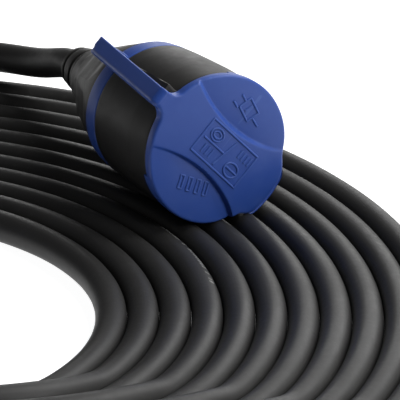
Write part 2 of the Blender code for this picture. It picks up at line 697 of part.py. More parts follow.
clamp_bar = add_object("cable_clamp", block(CLAMP_LOW, CLAMP_HIGH), steel, coupling)
CLAMP_SCREW = ((-10.4, 0.0), (-10.4, 1.45), (8.3, 1.45), (8.3, 2.8), (10.1, 2.8), (10.1, 0.0))
for side, label in ((-1, "left"), (1, "right")):
    centre = (CLAMP_SCREW_X, side * CLAMP_SCREW_Y, 0.0)
    hole = cylinder(-CLAMP_HOLE_REACH, CLAMP_HOLE_REACH, CLAMP_HOLE_R, SCREW_SIDES, UP, centre)
    hole_tool = helper(label + "_clamp_hole", hole, coupling)
    join_or_cut(insert, hole_tool, "DIFFERENCE")
    join_or_cut(clamp_bar, hole_tool, "DIFFERENCE")
    screw_profile = [(z * MM, r * MM) for z, r in CLAMP_SCREW]
    screw = turned(screw_profile, SCREW_SIDES, UP, centre)
    add_object(label + "_clamp_screw", screw, steel, coupling)

forward = np.array(FORWARD)
CORES = (
    ("brown_core", brown, (-2.6, 1.6), (-9.5, 0.0)),
    ("blue_core", blue, (2.6, 1.6), (9.5, 0.0)),
    ("earth_core", green_yellow, (0.0, -2.2), (0.0, 10.0)),
)
for name, material, leaves_at, ends_at in CORES:
    start = np.array((CORE_START, *leaves_at)) * MM
    end = np.array((CORE_END, *ends_at)) * MM
    route = smooth_route([start, end], forward, forward, CORE_STEP)
    tube(name, route, CORE_R, material, coupling)

# Plug: gland nut, seal, housing, shroud, pin carrier and pins

plug = empty("plug_axis", PLUG_ORIGIN)

NUT_PROFILE = (
    (0.0, 15.0),
    (1.5, 16.6),
    (17.0, 18.6),
    (18.0, 18.0),
    (18.0, 14.7),
    (4.0, 14.7),
    (4.0, 5.8),
    (0.0, 5.8),
)
nut_profile = [(x * MM, r * MM) for x, r in NUT_PROFILE]
add_object("gland_nut", turned(nut_profile, WIDE_SIDES), blue_shell, plug)

seal_stations = [
    (GLAND_SPAN[0], GLAND_RADII[0]),
    (GLAND_SPAN[0], GLAND_RADII[1]),
    (GLAND_SPAN[1], GLAND_RADII[1]),
    (GLAND_SPAN[1], GLAND_RADII[0]),
]
add_object("gland_seal", turned(seal_stations, LEAD_SIDES), seal_rubber, plug)
sheath_in_plug = cylinder(0.0, PLUG_SHEATH_END, LEAD_R, LEAD_SIDES)
add_object("plug_sheath_end", sheath_in_plug, lead_rubber, plug)

HOUSING_OUTSIDE = (
    (6.0, 14.4),
    (18.5, 14.4),
    (18.5, 17.6),
    (24.0, 18.6),
    (40.0, 21.4),
    (60.0, 23.6),
    (82.0, 25.0),
    (83.0, 27.0),
    (92.0, 27.0),
    (93.7, 25.8),
)
HOUSING_INSIDE = (
    (93.7, 23.5),
    (84.0, 23.5),
    (84.0, 21.9),
    (58.0, 20.4),
    (40.0, 18.0),
    (24.0, 14.0),
    (20.0, 9.2),
    (6.0, 9.2),
)
housing_profile = [(x * MM, r * MM) for x, r in HOUSING_OUTSIDE + HOUSING_INSIDE]
add_object("plug_housing", turned(housing_profile), blue_shell, plug)

SHROUD_PROFILE = (
    (84.3, 23.2),
    (94.0, 23.2),
    (94.0, 25.8),
    (98.0, 25.4),
    (100.0, 24.5),
    (134.3, 24.5),
    (135.0, 23.9),
    (135.0, 22.4),
    (134.4, 21.9),
    (84.3, 21.9),
)
shroud_profile = [(x * MM, r * MM) for x, r in SHROUD_PROFILE]
shroud = add_object("plug_shroud", turned(shroud_profile), blue_shell, plug)
join_or_cut(shroud, helper("shroud_key", block(KEY_LOW, KEY_HIGH), plug), "UNION")

carrier_shape = cylinder(CARRIER_REAR, CARRIER_FRONT, CARRIER_R, WIDE_SIDES)
carrier = add_object("pin_carrier", carrier_shape, pale_shell, plug)
PIN_SIZES = {"line": LIVE_PIN_R, "neutral": LIVE_PIN_R, "earth": EARTH_PIN_R}
PIN_CORES = {
    "line": (brown, (-2.6, 1.6)),
    "neutral": (blue, (2.6, 1.6)),
    "earth": (green_yellow, (0.0, -2.2)),
}
for label, radius in PIN_SIZES.items():
    polar = math.radians(PIN_ANGLES_DEG[label])
    y = PIN_CIRCLE_R * math.cos(polar)
    z = PIN_CIRCLE_R * math.sin(polar)
    hole = cylinder(*PIN_HOLE_SPAN, radius + GAP, SMALL_SIDES, centre=(0.0, y, z))
    join_or_cut(carrier, helper(label + "_pin_hole", hole, plug), "DIFFERENCE")
    barrel = radius + PIN_COLLAR
    pin_profile = [
        (PIN_REAR, 0.0),
        (PIN_REAR, barrel),
        (CARRIER_REAR - GAP, barrel),
        (CARRIER_REAR - GAP, radius),
        (PIN_TIP - PIN_CHAMFER[0], radius),
        (PIN_TIP, radius - PIN_CHAMFER[1]),
        (PIN_TIP, 0.0),
    ]
    pin_shape = turned(pin_profile, SMALL_SIDES, centre=(0.0, y, z))
    pin = add_object(label + "_pin", pin_shape, brass, plug)
    screw_centre = (PIN_SCREW_X, y, z)
    hole_top = barrel + PIN_SCREW_HEAD[0]
    hole = cylinder(TERMINAL_HOLE_SPAN[0], hole_top, TERMINAL_HOLE_R, SCREW_SIDES, UP, screw_centre)
    join_or_cut(pin, helper(label + "_pin_screw_hole", hole, plug), "DIFFERENCE")
    screw_profile = [
        (PIN_SCREW_FOOT, 0.0),
        (PIN_SCREW_FOOT, PIN_SCREW_R),
        (barrel + GAP, PIN_SCREW_R),
        (barrel + GAP, PIN_SCREW_HEAD[0]),
        (barrel + PIN_SCREW_HEAD[1], PIN_SCREW_HEAD[0]),
        (barrel + PIN_SCREW_HEAD[1], 0.0),
    ]
    screw = turned(screw_profile, SCREW_SIDES, UP, screw_centre)
    add_object(label + "_pin_screw", screw, steel, plug)
    material, leaves_at = PIN_CORES[label]
    start = np.array((PLUG_CORE_START, *leaves_at)) * MM
    end = np.array((PIN_REAR - GAP, y, z))
    route = smooth_route([start, end], forward, forward, PLUG_CORE_STEP)
    tube("plug_" + label + "_core", route, CORE_R, material, plug)
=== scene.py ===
"""Looks of a shore power cord: a coiled rubber lead, its capped socket coupling and its plug.

Metres in the CAD model's frame. The coupling and the plug are modelled in millimetres along their
own X axis and then placed, so a profile is a list of (distance forward, radius) in millimetres.
"""

import math

import bmesh
import bpy
import numpy as np
from mathutils import Euler, Matrix, Vector


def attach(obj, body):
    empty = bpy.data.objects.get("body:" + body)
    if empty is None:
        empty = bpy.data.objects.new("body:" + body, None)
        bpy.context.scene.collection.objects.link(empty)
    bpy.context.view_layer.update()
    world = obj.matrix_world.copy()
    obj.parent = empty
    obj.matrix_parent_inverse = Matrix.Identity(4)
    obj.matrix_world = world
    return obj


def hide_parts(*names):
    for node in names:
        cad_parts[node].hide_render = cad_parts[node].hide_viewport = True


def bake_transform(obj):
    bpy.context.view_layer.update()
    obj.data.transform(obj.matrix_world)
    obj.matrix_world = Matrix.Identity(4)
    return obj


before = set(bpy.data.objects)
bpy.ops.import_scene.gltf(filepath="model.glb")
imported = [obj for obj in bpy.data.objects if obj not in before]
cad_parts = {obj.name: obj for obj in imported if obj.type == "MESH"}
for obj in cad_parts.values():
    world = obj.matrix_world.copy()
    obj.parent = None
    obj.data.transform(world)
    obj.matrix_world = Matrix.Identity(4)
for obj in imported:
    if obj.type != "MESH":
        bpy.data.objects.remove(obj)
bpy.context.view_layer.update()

MM = 0.001
LEAD_D = 10.8 * MM
LEAD_R = LEAD_D / 2
SHEATH_R = 5.55 * MM

# Coil. Turns are counted from its inner end, and directions are degrees from +X.
PITCH = 11.1 * MM
TURNS = 11
COIL_CENTRE = (30.0 * MM, -157.8 * MM)
SEAM_DEG = 151.0
TAIL_TURN = 0.09
LEAVE_TURN = 10.92
STEP_TURN = 0.0006
RISE_TURN = 10.965
RISE_OUTWARD = 1.0 * MM
RISE_HEIGHT = 7.4 * MM
INNER_RADIUS = 101.05 * MM
INNER_ARC_DEG = (27.0, 118.0)
INNER_CORNER = 47.0 * MM
INNER_BULGES_DEG = (250.0, 291.0)
INNER_BULGE_HALF_DEG = 42.0
OUTER_ARC_DEG = (46.0, 137.0)
OUTER_CORNER = 52.0 * MM
OUTER_BULGES_DEG = (234.0, 334.0)
OUTER_BULGE_HALF_DEG = 63.0
CORNER_BLEND_DEG = 12.0
RING_STEP = 4.0 * MM
LEAD_SIDES = 24

# Coupling and plug axes
COUPLING_ORIGIN = Vector((35.65, 0.0, 38.7)) * MM
COUPLING_RISE_DEG = 2.8
STRAP_ROLL_DEG = 43.0
BOOT_REAR = -105.0
PLUG_ORIGIN = Vector((-15.0, -225.3, 47.6)) * MM

to_metres = Matrix.Scale(MM, 4)
coupling_rise = Matrix.Rotation(-math.radians(COUPLING_RISE_DEG), 4, "Y")
coupling_axis = Matrix.Translation(COUPLING_ORIGIN) @ coupling_rise
COUPLING = coupling_axis @ Matrix.Rotation(math.radians(STRAP_ROLL_DEG), 4, "X") @ to_metres
UPRIGHT = coupling_axis @ to_metres
PLUG = Matrix.Translation(PLUG_ORIGIN) @ to_metres


# ---- camera, floor and light


# Places and sizes in metres, turns in degrees.
CAMERA_PLACE = (1.86463, -1.02104, 0.91254)
CAMERA_TURN_DEG = (66.907, 0.0, 61.0)
CAMERA_LENS_MM = 576.4
SENSOR_WIDTH_MM = 36.0
VIEW_DEPTH = 20.0
WHITE = (1.0, 1.0, 1.0, 1.0)
WORLD_STRENGTH = 0.1
FLOOR_SIZE = 12.0
FLOOR_BASE = (0.5, 0.5, 0.5, 1.0)
FLOOR_ROUGHNESS = 0.9
FLOOR_GLOW = 0.95
# Each softbox: name, power in watts, width and height, place, and the point it faces.
SOFTBOXES = (
    ("top_softbox", 15.0, (0.9, 0.7), (0.1, 0.75, 1.05), (0.03, -0.05, 0.0)),
    ("front_softbox", 11.0, (0.7, 0.5), (1.15, 0.6, 0.75), (0.03, -0.02, 0.03)),
    ("back_softbox", 7.0, (1.2, 0.5), (-1.0, 1.05, 0.5), (0.0, 0.0, 0.04)),
)


def set_camera():
    camera = bpy.data.cameras.new("camera")
    camera.lens = CAMERA_LENS_MM
    camera.sensor_width = SENSOR_WIDTH_MM
    camera.clip_end = VIEW_DEPTH
    eye = bpy.data.objects.new("camera", camera)
    eye.location = CAMERA_PLACE
    eye.rotation_euler = Euler([math.radians(angle) for angle in CAMERA_TURN_DEG])
    bpy.context.scene.collection.objects.link(eye)
    bpy.context.scene.camera = eye


def softbox(name, power, size, place, aim):
    light = bpy.data.lights.new(name, "AREA")
    light.shape = "RECTANGLE"
    light.size, light.size_y = size
    light.energy = power
    lamp = bpy.data.objects.new(name, light)
    lamp.location = place
    lamp.rotation_euler = (Vector(aim) - Vector(place)).to_track_quat("-Z", "Y").to_euler()
    bpy.context.scene.collection.objects.link(lamp)


def light_studio():
    world = bpy.data.worlds.new("studio")
    world.use_nodes = True
    background = world.node_tree.nodes["Background"]
    background.inputs["Color"].default_value = WHITE
    background.inputs["Strength"].default_value = WORLD_STRENGTH
    bpy.context.scene.world = world
    for settings in SOFTBOXES:
        softbox(*settings)
    bpy.context.scene.view_settings.view_transform = "Standard"


def lay_floor():
    bpy.ops.mesh.primitive_plane_add(size=FLOOR_SIZE, location=(0.0, 0.0, 0.0))
    floor = bpy.context.object
    floor.name = "floor"
    paper = bpy.data.materials.new("white_floor")
    paper.use_nodes = True
    shader = paper.node_tree.nodes["Principled BSDF"]
    shader.inputs["Base Color"].default_value = FLOOR_BASE
    shader.inputs["Roughness"].default_value = FLOOR_ROUGHNESS
    shader.inputs["Emission Color"].default_value = WHITE
    shader.inputs["Emission Strength"].default_value = FLOOR_GLOW
    floor.data.materials.append(paper)


# ---- materials


# The Mix node's sockets for two colours and the mixed one.
FIRST_COLOUR = 6
SECOND_COLOUR = 7
MIXED_COLOUR = 2
# Pointiness where an edge starts to look worn, and where it is fully worn.
WORN_EDGE = (0.51, 0.6)


class Look:
    """A Principled material and the few node patterns that the finishes share."""

    def __init__(self, name, roughness, metallic=0.0):
        self.material = bpy.data.materials.new(name)
        self.material.use_nodes = True
        self.tree = self.material.node_tree
        self.shader = self.tree.nodes["Principled BSDF"]
        self.shader.inputs["Metallic"].default_value = metallic
        self.shader.inputs["Roughness"].default_value = roughness
        self.place = self.node("ShaderNodeTexCoord").outputs["Object"]

    def node(self, kind, **settings):
        made = self.tree.nodes.new(kind)
        for key, value in settings.items():
            setattr(made, key, value)
        return made

    def link(self, source, target):
        self.tree.links.new(source, target)

    def noise(self, size, detail=3.0, roughness=0.55, place=None):
        """Noise whose features are about so many millimetres across."""
        noise = self.node("ShaderNodeTexNoise")
        noise.inputs["Scale"].default_value = 1 / MM / size
        noise.inputs["Detail"].default_value = detail
        noise.inputs["Roughness"].default_value = roughness
        self.link(place or self.place, noise.inputs["Vector"])
        return noise.outputs["Fac"]

    def ranged(self, value, low, high, start=0.3, end=0.7):
        remap = self.node("ShaderNodeMapRange")
        remap.inputs["From Min"].default_value = start
        remap.inputs["From Max"].default_value = end
        remap.inputs["To Min"].default_value = low
        remap.inputs["To Max"].default_value = high
        self.link(value, remap.inputs["Value"])
        return remap.outputs["Result"]

    def math(self, operation, first, second=None):
        node = self.node("ShaderNodeMath", operation=operation)
        for socket, value in zip(node.inputs, (first, second)):
            if isinstance(value, (int, float)):
                socket.default_value = value
            elif value is not None:
                self.link(value, socket)
        return node.outputs["Value"]

    def mixed(self, amount, first, second):
        """Two colours, mixed by an amount between 0 and 1."""
        mix = self.node("ShaderNodeMix", data_type="RGBA")
        self.link(amount, mix.inputs["Factor"])
        for socket, colour in ((mix.inputs[FIRST_COLOUR], first), (mix.inputs[SECOND_COLOUR], second)):
            if isinstance(colour, tuple):
                socket.default_value = (*colour, 1.0)
            else:
                self.link(colour, socket)
        return mix.outputs[MIXED_COLOUR]

    def edges(self, amount):
        """1 on sharp outer edges, 0 elsewhere."""
        point = self.node("ShaderNodeNewGeometry").outputs["Pointiness"]
        return self.ranged(point, 0.0, amount, *WORN_EDGE)

    def colour(self, source):
        self.link(source, self.shader.inputs["Base Color"])

    def rough(self, source):
        self.link(source, self.shader.inputs["Roughness"])

    def bumps(self, *layers):
        """Each layer is (height value, depth in millimetres)."""
        normal = None
        for height, depth in layers:
            bump = self.node("ShaderNodeBump")
            bump.inputs["Strength"].default_value = 1.0
            bump.inputs["Distance"].default_value = depth * MM
            self.link(height, bump.inputs["Height"])
            if normal:
                self.link(normal, bump.inputs["Normal"])
            normal = bump.outputs["Normal"]
        self.link(normal, self.shader.inputs["Normal"])


# Moulded finishes. Sizes of the features are in millimetres.
CLOUD_SIZE = 26.0
GRIME_SIZE = 5.0
WAVE_SIZE = 7.0
WAVE_TO_GRAIN_DEPTH = 2.5
WORN_IN_CLOUD = 0.28
MOST_CLOUD = 0.55
MOST_GRIME = 0.22
EDGE_WEAR = 0.5
GLOSSIER = 0.06
DULLER = 0.08


def moulded(name, colour, worn, roughness, grain=0.45, depth=0.012, specular=0.4):
    """Rubber or plastic from a mould: a fine grain, blotches of gloss and slightly paler edges."""
    look = Look(name, roughness)
    look.shader.inputs["Specular IOR Level"].default_value = specular
    cloud = look.noise(CLOUD_SIZE)
    grime = look.noise(GRIME_SIZE, detail=5.0, roughness=0.65)
    clouded = tuple((1 - WORN_IN_CLOUD) * c + WORN_IN_CLOUD * w for c, w in zip(colour, worn))
    base = look.mixed(look.ranged(cloud, 0.0, MOST_CLOUD), colour, clouded)
    base = look.mixed(look.ranged(grime, 0.0, MOST_GRIME, start=0.45, end=0.8), base, worn)
    look.colour(look.mixed(look.edges(EDGE_WEAR), base, worn))
    gloss = look.math("ADD", cloud, grime)
    look.rough(look.ranged(gloss, roughness - GLOSSIER, roughness + DULLER, start=0.75, end=1.25))
    grains = look.noise(grain, detail=2.0)
    waves = look.noise(WAVE_SIZE, detail=4.0)
    look.bumps((grains, depth), (waves, depth * WAVE_TO_GRAIN_DEPTH))
    return look.material


# Metal finishes, also in millimetres.
STAIN_SIZE = 3.0
MOST_STAIN = 0.7
BRIGHTER = 0.05
TARNISHED = 0.14
SCRATCH_SIZE = 0.35
SCRATCH_DEPTH = 0.004
DENT_SIZE = 2.2
DENT_DEPTH = 0.01


def metal(name, colour, roughness, tint):
    """Plated metal with stains that are duller and take on the tint."""
    look = Look(name, roughness, metallic=1.0)
    stain = look.noise(STAIN_SIZE, detail=5.0, roughness=0.7)
    look.colour(look.mixed(look.ranged(stain, 0.0, MOST_STAIN), colour, tint))
    look.rough(look.ranged(stain, roughness - BRIGHTER, roughness + TARNISHED))
    scratches = look.noise(SCRATCH_SIZE, detail=2.0)
    look.bumps((scratches, SCRATCH_DEPTH), (look.noise(DENT_SIZE), DENT_DEPTH))
    return look.material


# The lead's sheath. Lengths along the lead are in metres, and places round it run from 0 to 1.
SHEATH_SPECULAR = 0.33
SHEATH_BLACK = (0.012, 0.0117, 0.0114)
SHEATH_FADED = (0.02, 0.0195, 0.019)
SHEATH_SCUFFED = (0.06, 0.058, 0.056)
SHEATH_PRINT = (0.34, 0.34, 0.33)
FLOW_STRETCH = 0.05
FLOW_LINE_SIZE = 0.9
FADE_SIZE = 60.0
SCUFF_SIZE = 2.2
MOST_SCUFF = 0.35
SHEATH_ROUGHNESS = (0.43, 0.6)
PRINT_LEFT = (0.75, 0.15)
PRINT_PERIOD = 0.97
PRINTED_SHARE = 0.07
STROKE_PITCH = 2.6 * MM
STROKE_SHARE = 0.55
STROKES_MISSING = 0.3
PRINT_ROW = 0.1
PRINT_ROW_HALF = 0.026


def lead_sheath():
    """Black rubber sheath: faint lengthwise flow lines, dust, scuffs and a worn row of print marks."""
    look = Look("lead_sheath", 0.5)
    look.shader.inputs["Specular IOR Level"].default_value = SHEATH_SPECULAR
    uv = look.node("ShaderNodeUVMap", uv_map="along").outputs["UV"]
    split = look.node("ShaderNodeSeparateXYZ")
    look.link(uv, split.inputs["Vector"])
    along, round_it = split.outputs["X"], split.outputs["Y"]
    flow = look.node("ShaderNodeCombineXYZ")
    look.link(look.math("MULTIPLY", along, FLOW_STRETCH), flow.inputs["X"])
    look.link(look.math("MULTIPLY", round_it, math.pi * LEAD_D), flow.inputs["Y"])
    lines = look.noise(FLOW_LINE_SIZE, detail=2.0, roughness=0.5, place=flow.outputs["Vector"])
    cloud = look.noise(FADE_SIZE)
    scuff = look.noise(SCUFF_SIZE, detail=6.0, roughness=0.7)
    base = look.mixed(look.ranged(cloud, 0.0, 1.0), SHEATH_BLACK, SHEATH_FADED)
    base = look.mixed(look.ranged(scuff, 0.0, MOST_SCUFF, start=0.55, end=0.8), base, SHEATH_SCUFFED)
    period = look.math("FRACT", look.math("DIVIDE", along, PRINT_PERIOD))
    block = look.math("LESS_THAN", period, PRINTED_SHARE)
    letter = look.math("DIVIDE", along, STROKE_PITCH)
    stroke = look.math("LESS_THAN", look.math("FRACT", letter), STROKE_SHARE)
    chosen = look.node("ShaderNodeTexWhiteNoise", noise_dimensions="1D")
    look.link(look.math("FLOOR", letter), chosen.inputs["W"])
    kept = look.math("GREATER_THAN", chosen.outputs["Value"], STROKES_MISSING)
    stroke = look.math("MULTIPLY", stroke, kept)
    off_row = look.math("ABSOLUTE", look.math("SUBTRACT", round_it, PRINT_ROW))
    row = look.math("LESS_THAN", off_row, PRINT_ROW_HALF)
    worn = look.ranged(scuff, *PRINT_LEFT, start=0.35, end=0.65)
    strokes = look.math("MULTIPLY", block, stroke)
    print_mask = look.math("MULTIPLY", strokes, look.math("MULTIPLY", row, worn))
    look.colour(look.mixed(print_mask, base, SHEATH_PRINT))
    look.rough(look.ranged(look.math("ADD", cloud, scuff), *SHEATH_ROUGHNESS, start=0.75, end=1.3))
    look.bumps((lines, 0.02), (look.noise(0.5, detail=2.0), 0.008), (look.noise(9.0), 0.03))
    return look.material


# Moulded: colour, worn colour, roughness, grain size, grain depth, specular. Metal: colour,
# roughness, tint. A setting that is left out keeps its default.
FINISHES = {
    "black_rubber": (moulded, (0.0125, 0.012, 0.0115), (0.035, 0.033, 0.031), 0.48, 0.5, 0.014, 0.3),
    "blue_elastomer": (moulded, (0.019, 0.06, 0.29), (0.05, 0.11, 0.37), 0.44, 0.6, 0.01),
    "seal_rubber": (moulded, (0.035, 0.035, 0.035), (0.07, 0.07, 0.07), 0.6, 0.6),
    "black_thermoset": (moulded, (0.013, 0.013, 0.014), (0.04, 0.04, 0.042), 0.38, 0.35),
    "blue_polyamide": (moulded, (0.012, 0.105, 0.4), (0.05, 0.19, 0.5), 0.4, 0.4),
    "grey_thermoset": (moulded, (0.34, 0.35, 0.36), (0.46, 0.47, 0.48), 0.45, 0.4),
    "nickelled_brass": (metal, (0.72, 0.68, 0.54), 0.24, (0.58, 0.5, 0.36)),
    "plated_steel": (metal, (0.62, 0.63, 0.65), 0.3, (0.47, 0.49, 0.5)),
    "brown_insulation": (moulded, (0.14, 0.05, 0.024), (0.22, 0.1, 0.06), 0.42, 0.3),
    "blue_insulation": (moulded, (0.02, 0.13, 0.48), (0.08, 0.22, 0.56), 0.42, 0.3),
    "earth_insulation": (moulded, (0.4, 0.46, 0.03), (0.5, 0.56, 0.1), 0.42, 0.3),
}
LOOKS = {"lead_sheath": lead_sheath()}
for finish, (kind, *settings) in FINISHES.items():
    LOOKS[finish] = kind(finish, *settings)
# The CAD nodes that are shown as they are, by look.
CAD_NODE_LOOKS = {
    "lead_sheath": "coupling_sheath_end plug_sheath_end",
    "nickelled_brass": "live_contact neutral_contact earth_bracket line_pin neutral_pin earth_pin",
    "plated_steel": (
        "live_contact_screw neutral_contact_screw cable_clamp left_clamp_screw right_clamp_screw"
        " line_pin_screw neutral_pin_screw earth_pin_screw"
    ),
    "brown_insulation": "brown_core plug_line_core",
    "blue_insulation": "blue_core plug_neutral_core",
    "earth_insulation": "earth_core plug_earth_core",
    "seal_rubber": "gland_seal",
    "grey_thermoset": "pin_carrier",
}


def finish_cad_nodes():
    for look, names in CAD_NODE_LOOKS.items():
        for name in names.split():
            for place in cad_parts[name].material_slots:
                place.material = LOOKS[look]


# ---- mesh helpers


MERGE_DISTANCE = 1e-5
STRAIGHT_DEG = 172.0
LONGEST_CUT = 0.45
CARVED_SHARP_DEG = 30.0


def add_piece(name, verts, faces, slot, place=None, body="cord", sharp_deg=32.0, tidy=True):
    """A mesh object with its look. A body of None leaves it attached to no body."""
    mesh = bpy.data.meshes.new(name)
    mesh.from_pydata([tuple(vert) for vert in verts], [], faces)
    if tidy:
        bm = bmesh.new()
        bm.from_mesh(mesh)
        bmesh.ops.remove_doubles(bm, verts=bm.verts, dist=MERGE_DISTANCE)
        bmesh.ops.recalc_face_normals(bm, faces=bm.faces)
        bm.to_mesh(mesh)
        bm.free()
    if place:
        mesh.transform(place)
    mesh.shade_smooth()
    mesh.set_sharp_from_angle(angle=math.radians(sharp_deg))
    mesh.materials.append(LOOKS[slot])
    piece = bpy.data.objects.new(name, mesh)
    bpy.context.scene.collection.objects.link(piece)
    if body:
        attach(piece, body)
    return piece


def rounded(points, radius, steps=3):
    """The outline with each corner turned into a small arc. A point may carry its own radius."""
    points = [tuple(point) for point in points]
    out = []
    for i, point in enumerate(points):
        own = point[2] if len(point) > 2 else radius
        here = np.array(point[:2])
        before = np.array(points[i - 1][:2]) - here
        after = np.array(points[(i + 1) % len(points)][:2]) - here
        long_before, long_after = np.linalg.norm(before), np.linalg.norm(after)
        bend = math.acos(np.clip(before @ after / (long_before * long_after), -1, 1))
        if own == 0.0 or bend > math.radians(STRAIGHT_DEG):
            out.append(here)
            continue
        cut = min(own / math.tan(bend / 2), LONGEST_CUT * long_before, LONGEST_CUT * long_after)
        first, last = here + before / long_before * cut, here + after / long_after * cut
        for t in np.linspace(0.0, 1.0, steps + 1):
            out.append((1 - t) ** 2 * first + 2 * t * (1 - t) * here + t * t * last)
    return np.array(out)


def filled_in(points, step, closed=True):
    """The same outline with extra points, so that no stretch is longer than the step."""
    ends = np.roll(points, -1, axis=0) if closed else points[1:]
    out = []
    for start, end in zip(points, ends):
        pieces = max(1, math.ceil(np.linalg.norm(end - start) / step))
        out += [start + (end - start) * k / pieces for k in range(pieces)]
    if not closed:
        out.append(points[-1])
    return np.array(out)


def lathe(profile, angles_deg, shape=None, whole=True):
    """A closed profile turned about the X axis. The angle runs from +Z towards +Y."""
    rows = []
    for angle in np.radians(angles_deg):
        x, r = shape(profile[:, 0], profile[:, 1], angle) if shape else profile.T
        rows.append(np.stack([x, r * math.sin(angle), r * math.cos(angle)], axis=1))
    count = len(profile)
    faces = []
    for i in range(len(rows) - (0 if whole else 1)):
        j = (i + 1) % len(rows)
        for k in range(count):
            n = (k + 1) % count
            faces.append((i * count + k, i * count + n, j * count + n, j * count + k))
    if not whole:
        faces.append(tuple(range(count)))
        faces.append(tuple((len(rows) - 1) * count + k for k in reversed(range(count))))
    return np.concatenate(rows), faces


def even_angles(sides):
    return np.arange(sides) * 360.0 / sides


def turned_piece(name, outline, slot, place, sides=96, body="cord", radius=0.4, shape=None, step=None):
    profile = rounded(outline, radius)
    if step:
        profile = filled_in(profile, step)
    verts, faces = lathe(profile, even_angles(sides), shape)
    return add_piece(name, verts, faces, slot, place, body)


def soft_block(low, high, radius=0.5):
    """A box between two corners, with rounded edges."""
    bm = bmesh.new()
    bmesh.ops.create_cube(bm, size=1.0)
    bmesh.ops.scale(bm, vec=[b - a for a, b in zip(low, high)], verts=bm.verts)
    bmesh.ops.translate(bm, vec=[(a + b) / 2 for a, b in zip(low, high)], verts=bm.verts)
    bmesh.ops.bevel(bm, geom=bm.edges[:], offset=radius, segments=3, profile=0.5, affect="EDGES")
    bm.verts.index_update()
    verts = np.array([vert.co[:] for vert in bm.verts])
    faces = [tuple(vert.index for vert in face.verts) for face in bm.faces]
    bm.free()
    return verts, faces


def carved(piece, cutters):
    """Cuts closed shapes out of the piece. Each cutter is (verts, faces) and its place."""
    for verts, faces, place in cutters:
        mesh = bpy.data.meshes.new("cutter")
        mesh.from_pydata([tuple(vert) for vert in verts], [], faces)
        mesh.transform(place)
        bm = bmesh.new()
        bm.from_mesh(mesh)
        bmesh.ops.recalc_face_normals(bm, faces=bm.faces)
        bm.to_mesh(mesh)
        bm.free()
        tool = bpy.data.objects.new("cutter", mesh)
        bpy.context.scene.collection.objects.link(tool)
        cut = piece.modifiers.new("cut", "BOOLEAN")
        cut.operation = "DIFFERENCE"
        cut.object = tool
        bpy.context.view_layer.update()
        shaped = piece.evaluated_get(bpy.context.evaluated_depsgraph_get())
        result = bpy.data.meshes.new_from_object(shaped)
        piece.modifiers.clear()
        piece.data = result
        bpy.data.objects.remove(tool)
    piece.data.shade_smooth()
    piece.data.set_sharp_from_angle(angle=math.radians(CARVED_SHARP_DEG))
    return piece


def eased(value, start, end):
    t = np.clip((np.asarray(value, float) - start) / (end - start), 0.0, 1.0)
    return t * t * (3 - 2 * t)


def tube_faces(rings, sides):
    """The faces of a closed tube of so many rings, with a face over each end."""
    faces = []
    for i in range(rings - 1):
        for k in range(sides):
            n = (k + 1) % sides
            faces.append((i * sides + k, i * sides + n, (i + 1) * sides + n, (i + 1) * sides + k))
    faces.append(tuple(reversed(range(sides))))
    faces.append(tuple((rings - 1) * sides + k for k in range(sides)))
    return faces


def swept(points, radius, sides=8, flat=1.0, up=(0.0, 0.0, 1.0)):
    """A thin closed tube along the points, flattened in the up direction."""
    points = np.array(points, float)
    ahead = np.gradient(points, axis=0)
    ahead /= np.linalg.norm(ahead, axis=1)[:, None]
    across = np.cross(ahead, np.array(up))
    across /= np.linalg.norm(across, axis=1)[:, None]
    rise = np.cross(across, ahead)
    turn = np.linspace(0.0, 2 * math.pi, sides, endpoint=False)
    rings = points[:, None] + radius * (
        across[:, None] * np.sin(turn)[None, :, None] + flat * rise[:, None] * np.cos(turn)[None, :, None]
    )
    return rings.reshape(-1, 3), tube_faces(len(points), sides)


def merged(parts):
    verts, faces, start = [], [], 0
    for part_verts, part_faces in parts:
        verts.append(np.asarray(part_verts, float))
        faces += [tuple(index + start for index in face) for face in part_faces]
        start += len(part_verts)
    return np.concatenate(verts), faces


# ---- the lead's route


POINTS_PER_SPAN = 60
GRID_DEG = 0.25


def even_steps(points, step):
    """The same line as points at even steps, and each point's distance along it."""
    along = np.concatenate([[0.0], np.cumsum(np.linalg.norm(np.diff(points, axis=0), axis=1))])
    stops = np.linspace(0.0, along[-1], max(3, round(along[-1] / step) + 1))
    return np.stack([np.interp(stops, along, points[:, k]) for k in range(3)], axis=1), stops


def smooth_route(knots, start_dir, end_dir, step):
    """Points at even steps along the clamped cubic through the knots."""
    knots = np.array(knots)
    span = np.linalg.norm(np.diff(knots, axis=0), axis=1)
    count = len(knots)
    matrix = np.eye(count)
    right = np.zeros((count, 3))
    right[0] = start_dir / np.linalg.norm(start_dir)
    right[-1] = end_dir / np.linalg.norm(end_dir)
    for i in range(1, count - 1):
        before, after = span[i - 1], span[i]
        matrix[i, i - 1 : i + 2] = (1 / before, 2 / before + 2 / after, 1 / after)
        right[i] = 3 * (knots[i] - knots[i - 1]) / before**2
        right[i] += 3 * (knots[i + 1] - knots[i]) / after**2
    slope = np.linalg.solve(matrix, right)
    fine = []
    for i in range(count - 1):
        for u in np.linspace(0.0, 1.0, POINTS_PER_SPAN, endpoint=i == count - 2):
            fine.append(
                (2 * u**3 - 3 * u**2 + 1) * knots[i]
                + (u**3 - 2 * u**2 + u) * span[i] * slope[i]
                + (3 * u**2 - 2 * u**3) * knots[i + 1]
                + (u**3 - u**2) * span[i] * slope[i + 1]
            )
    return even_steps(np.array(fine), step)[0]


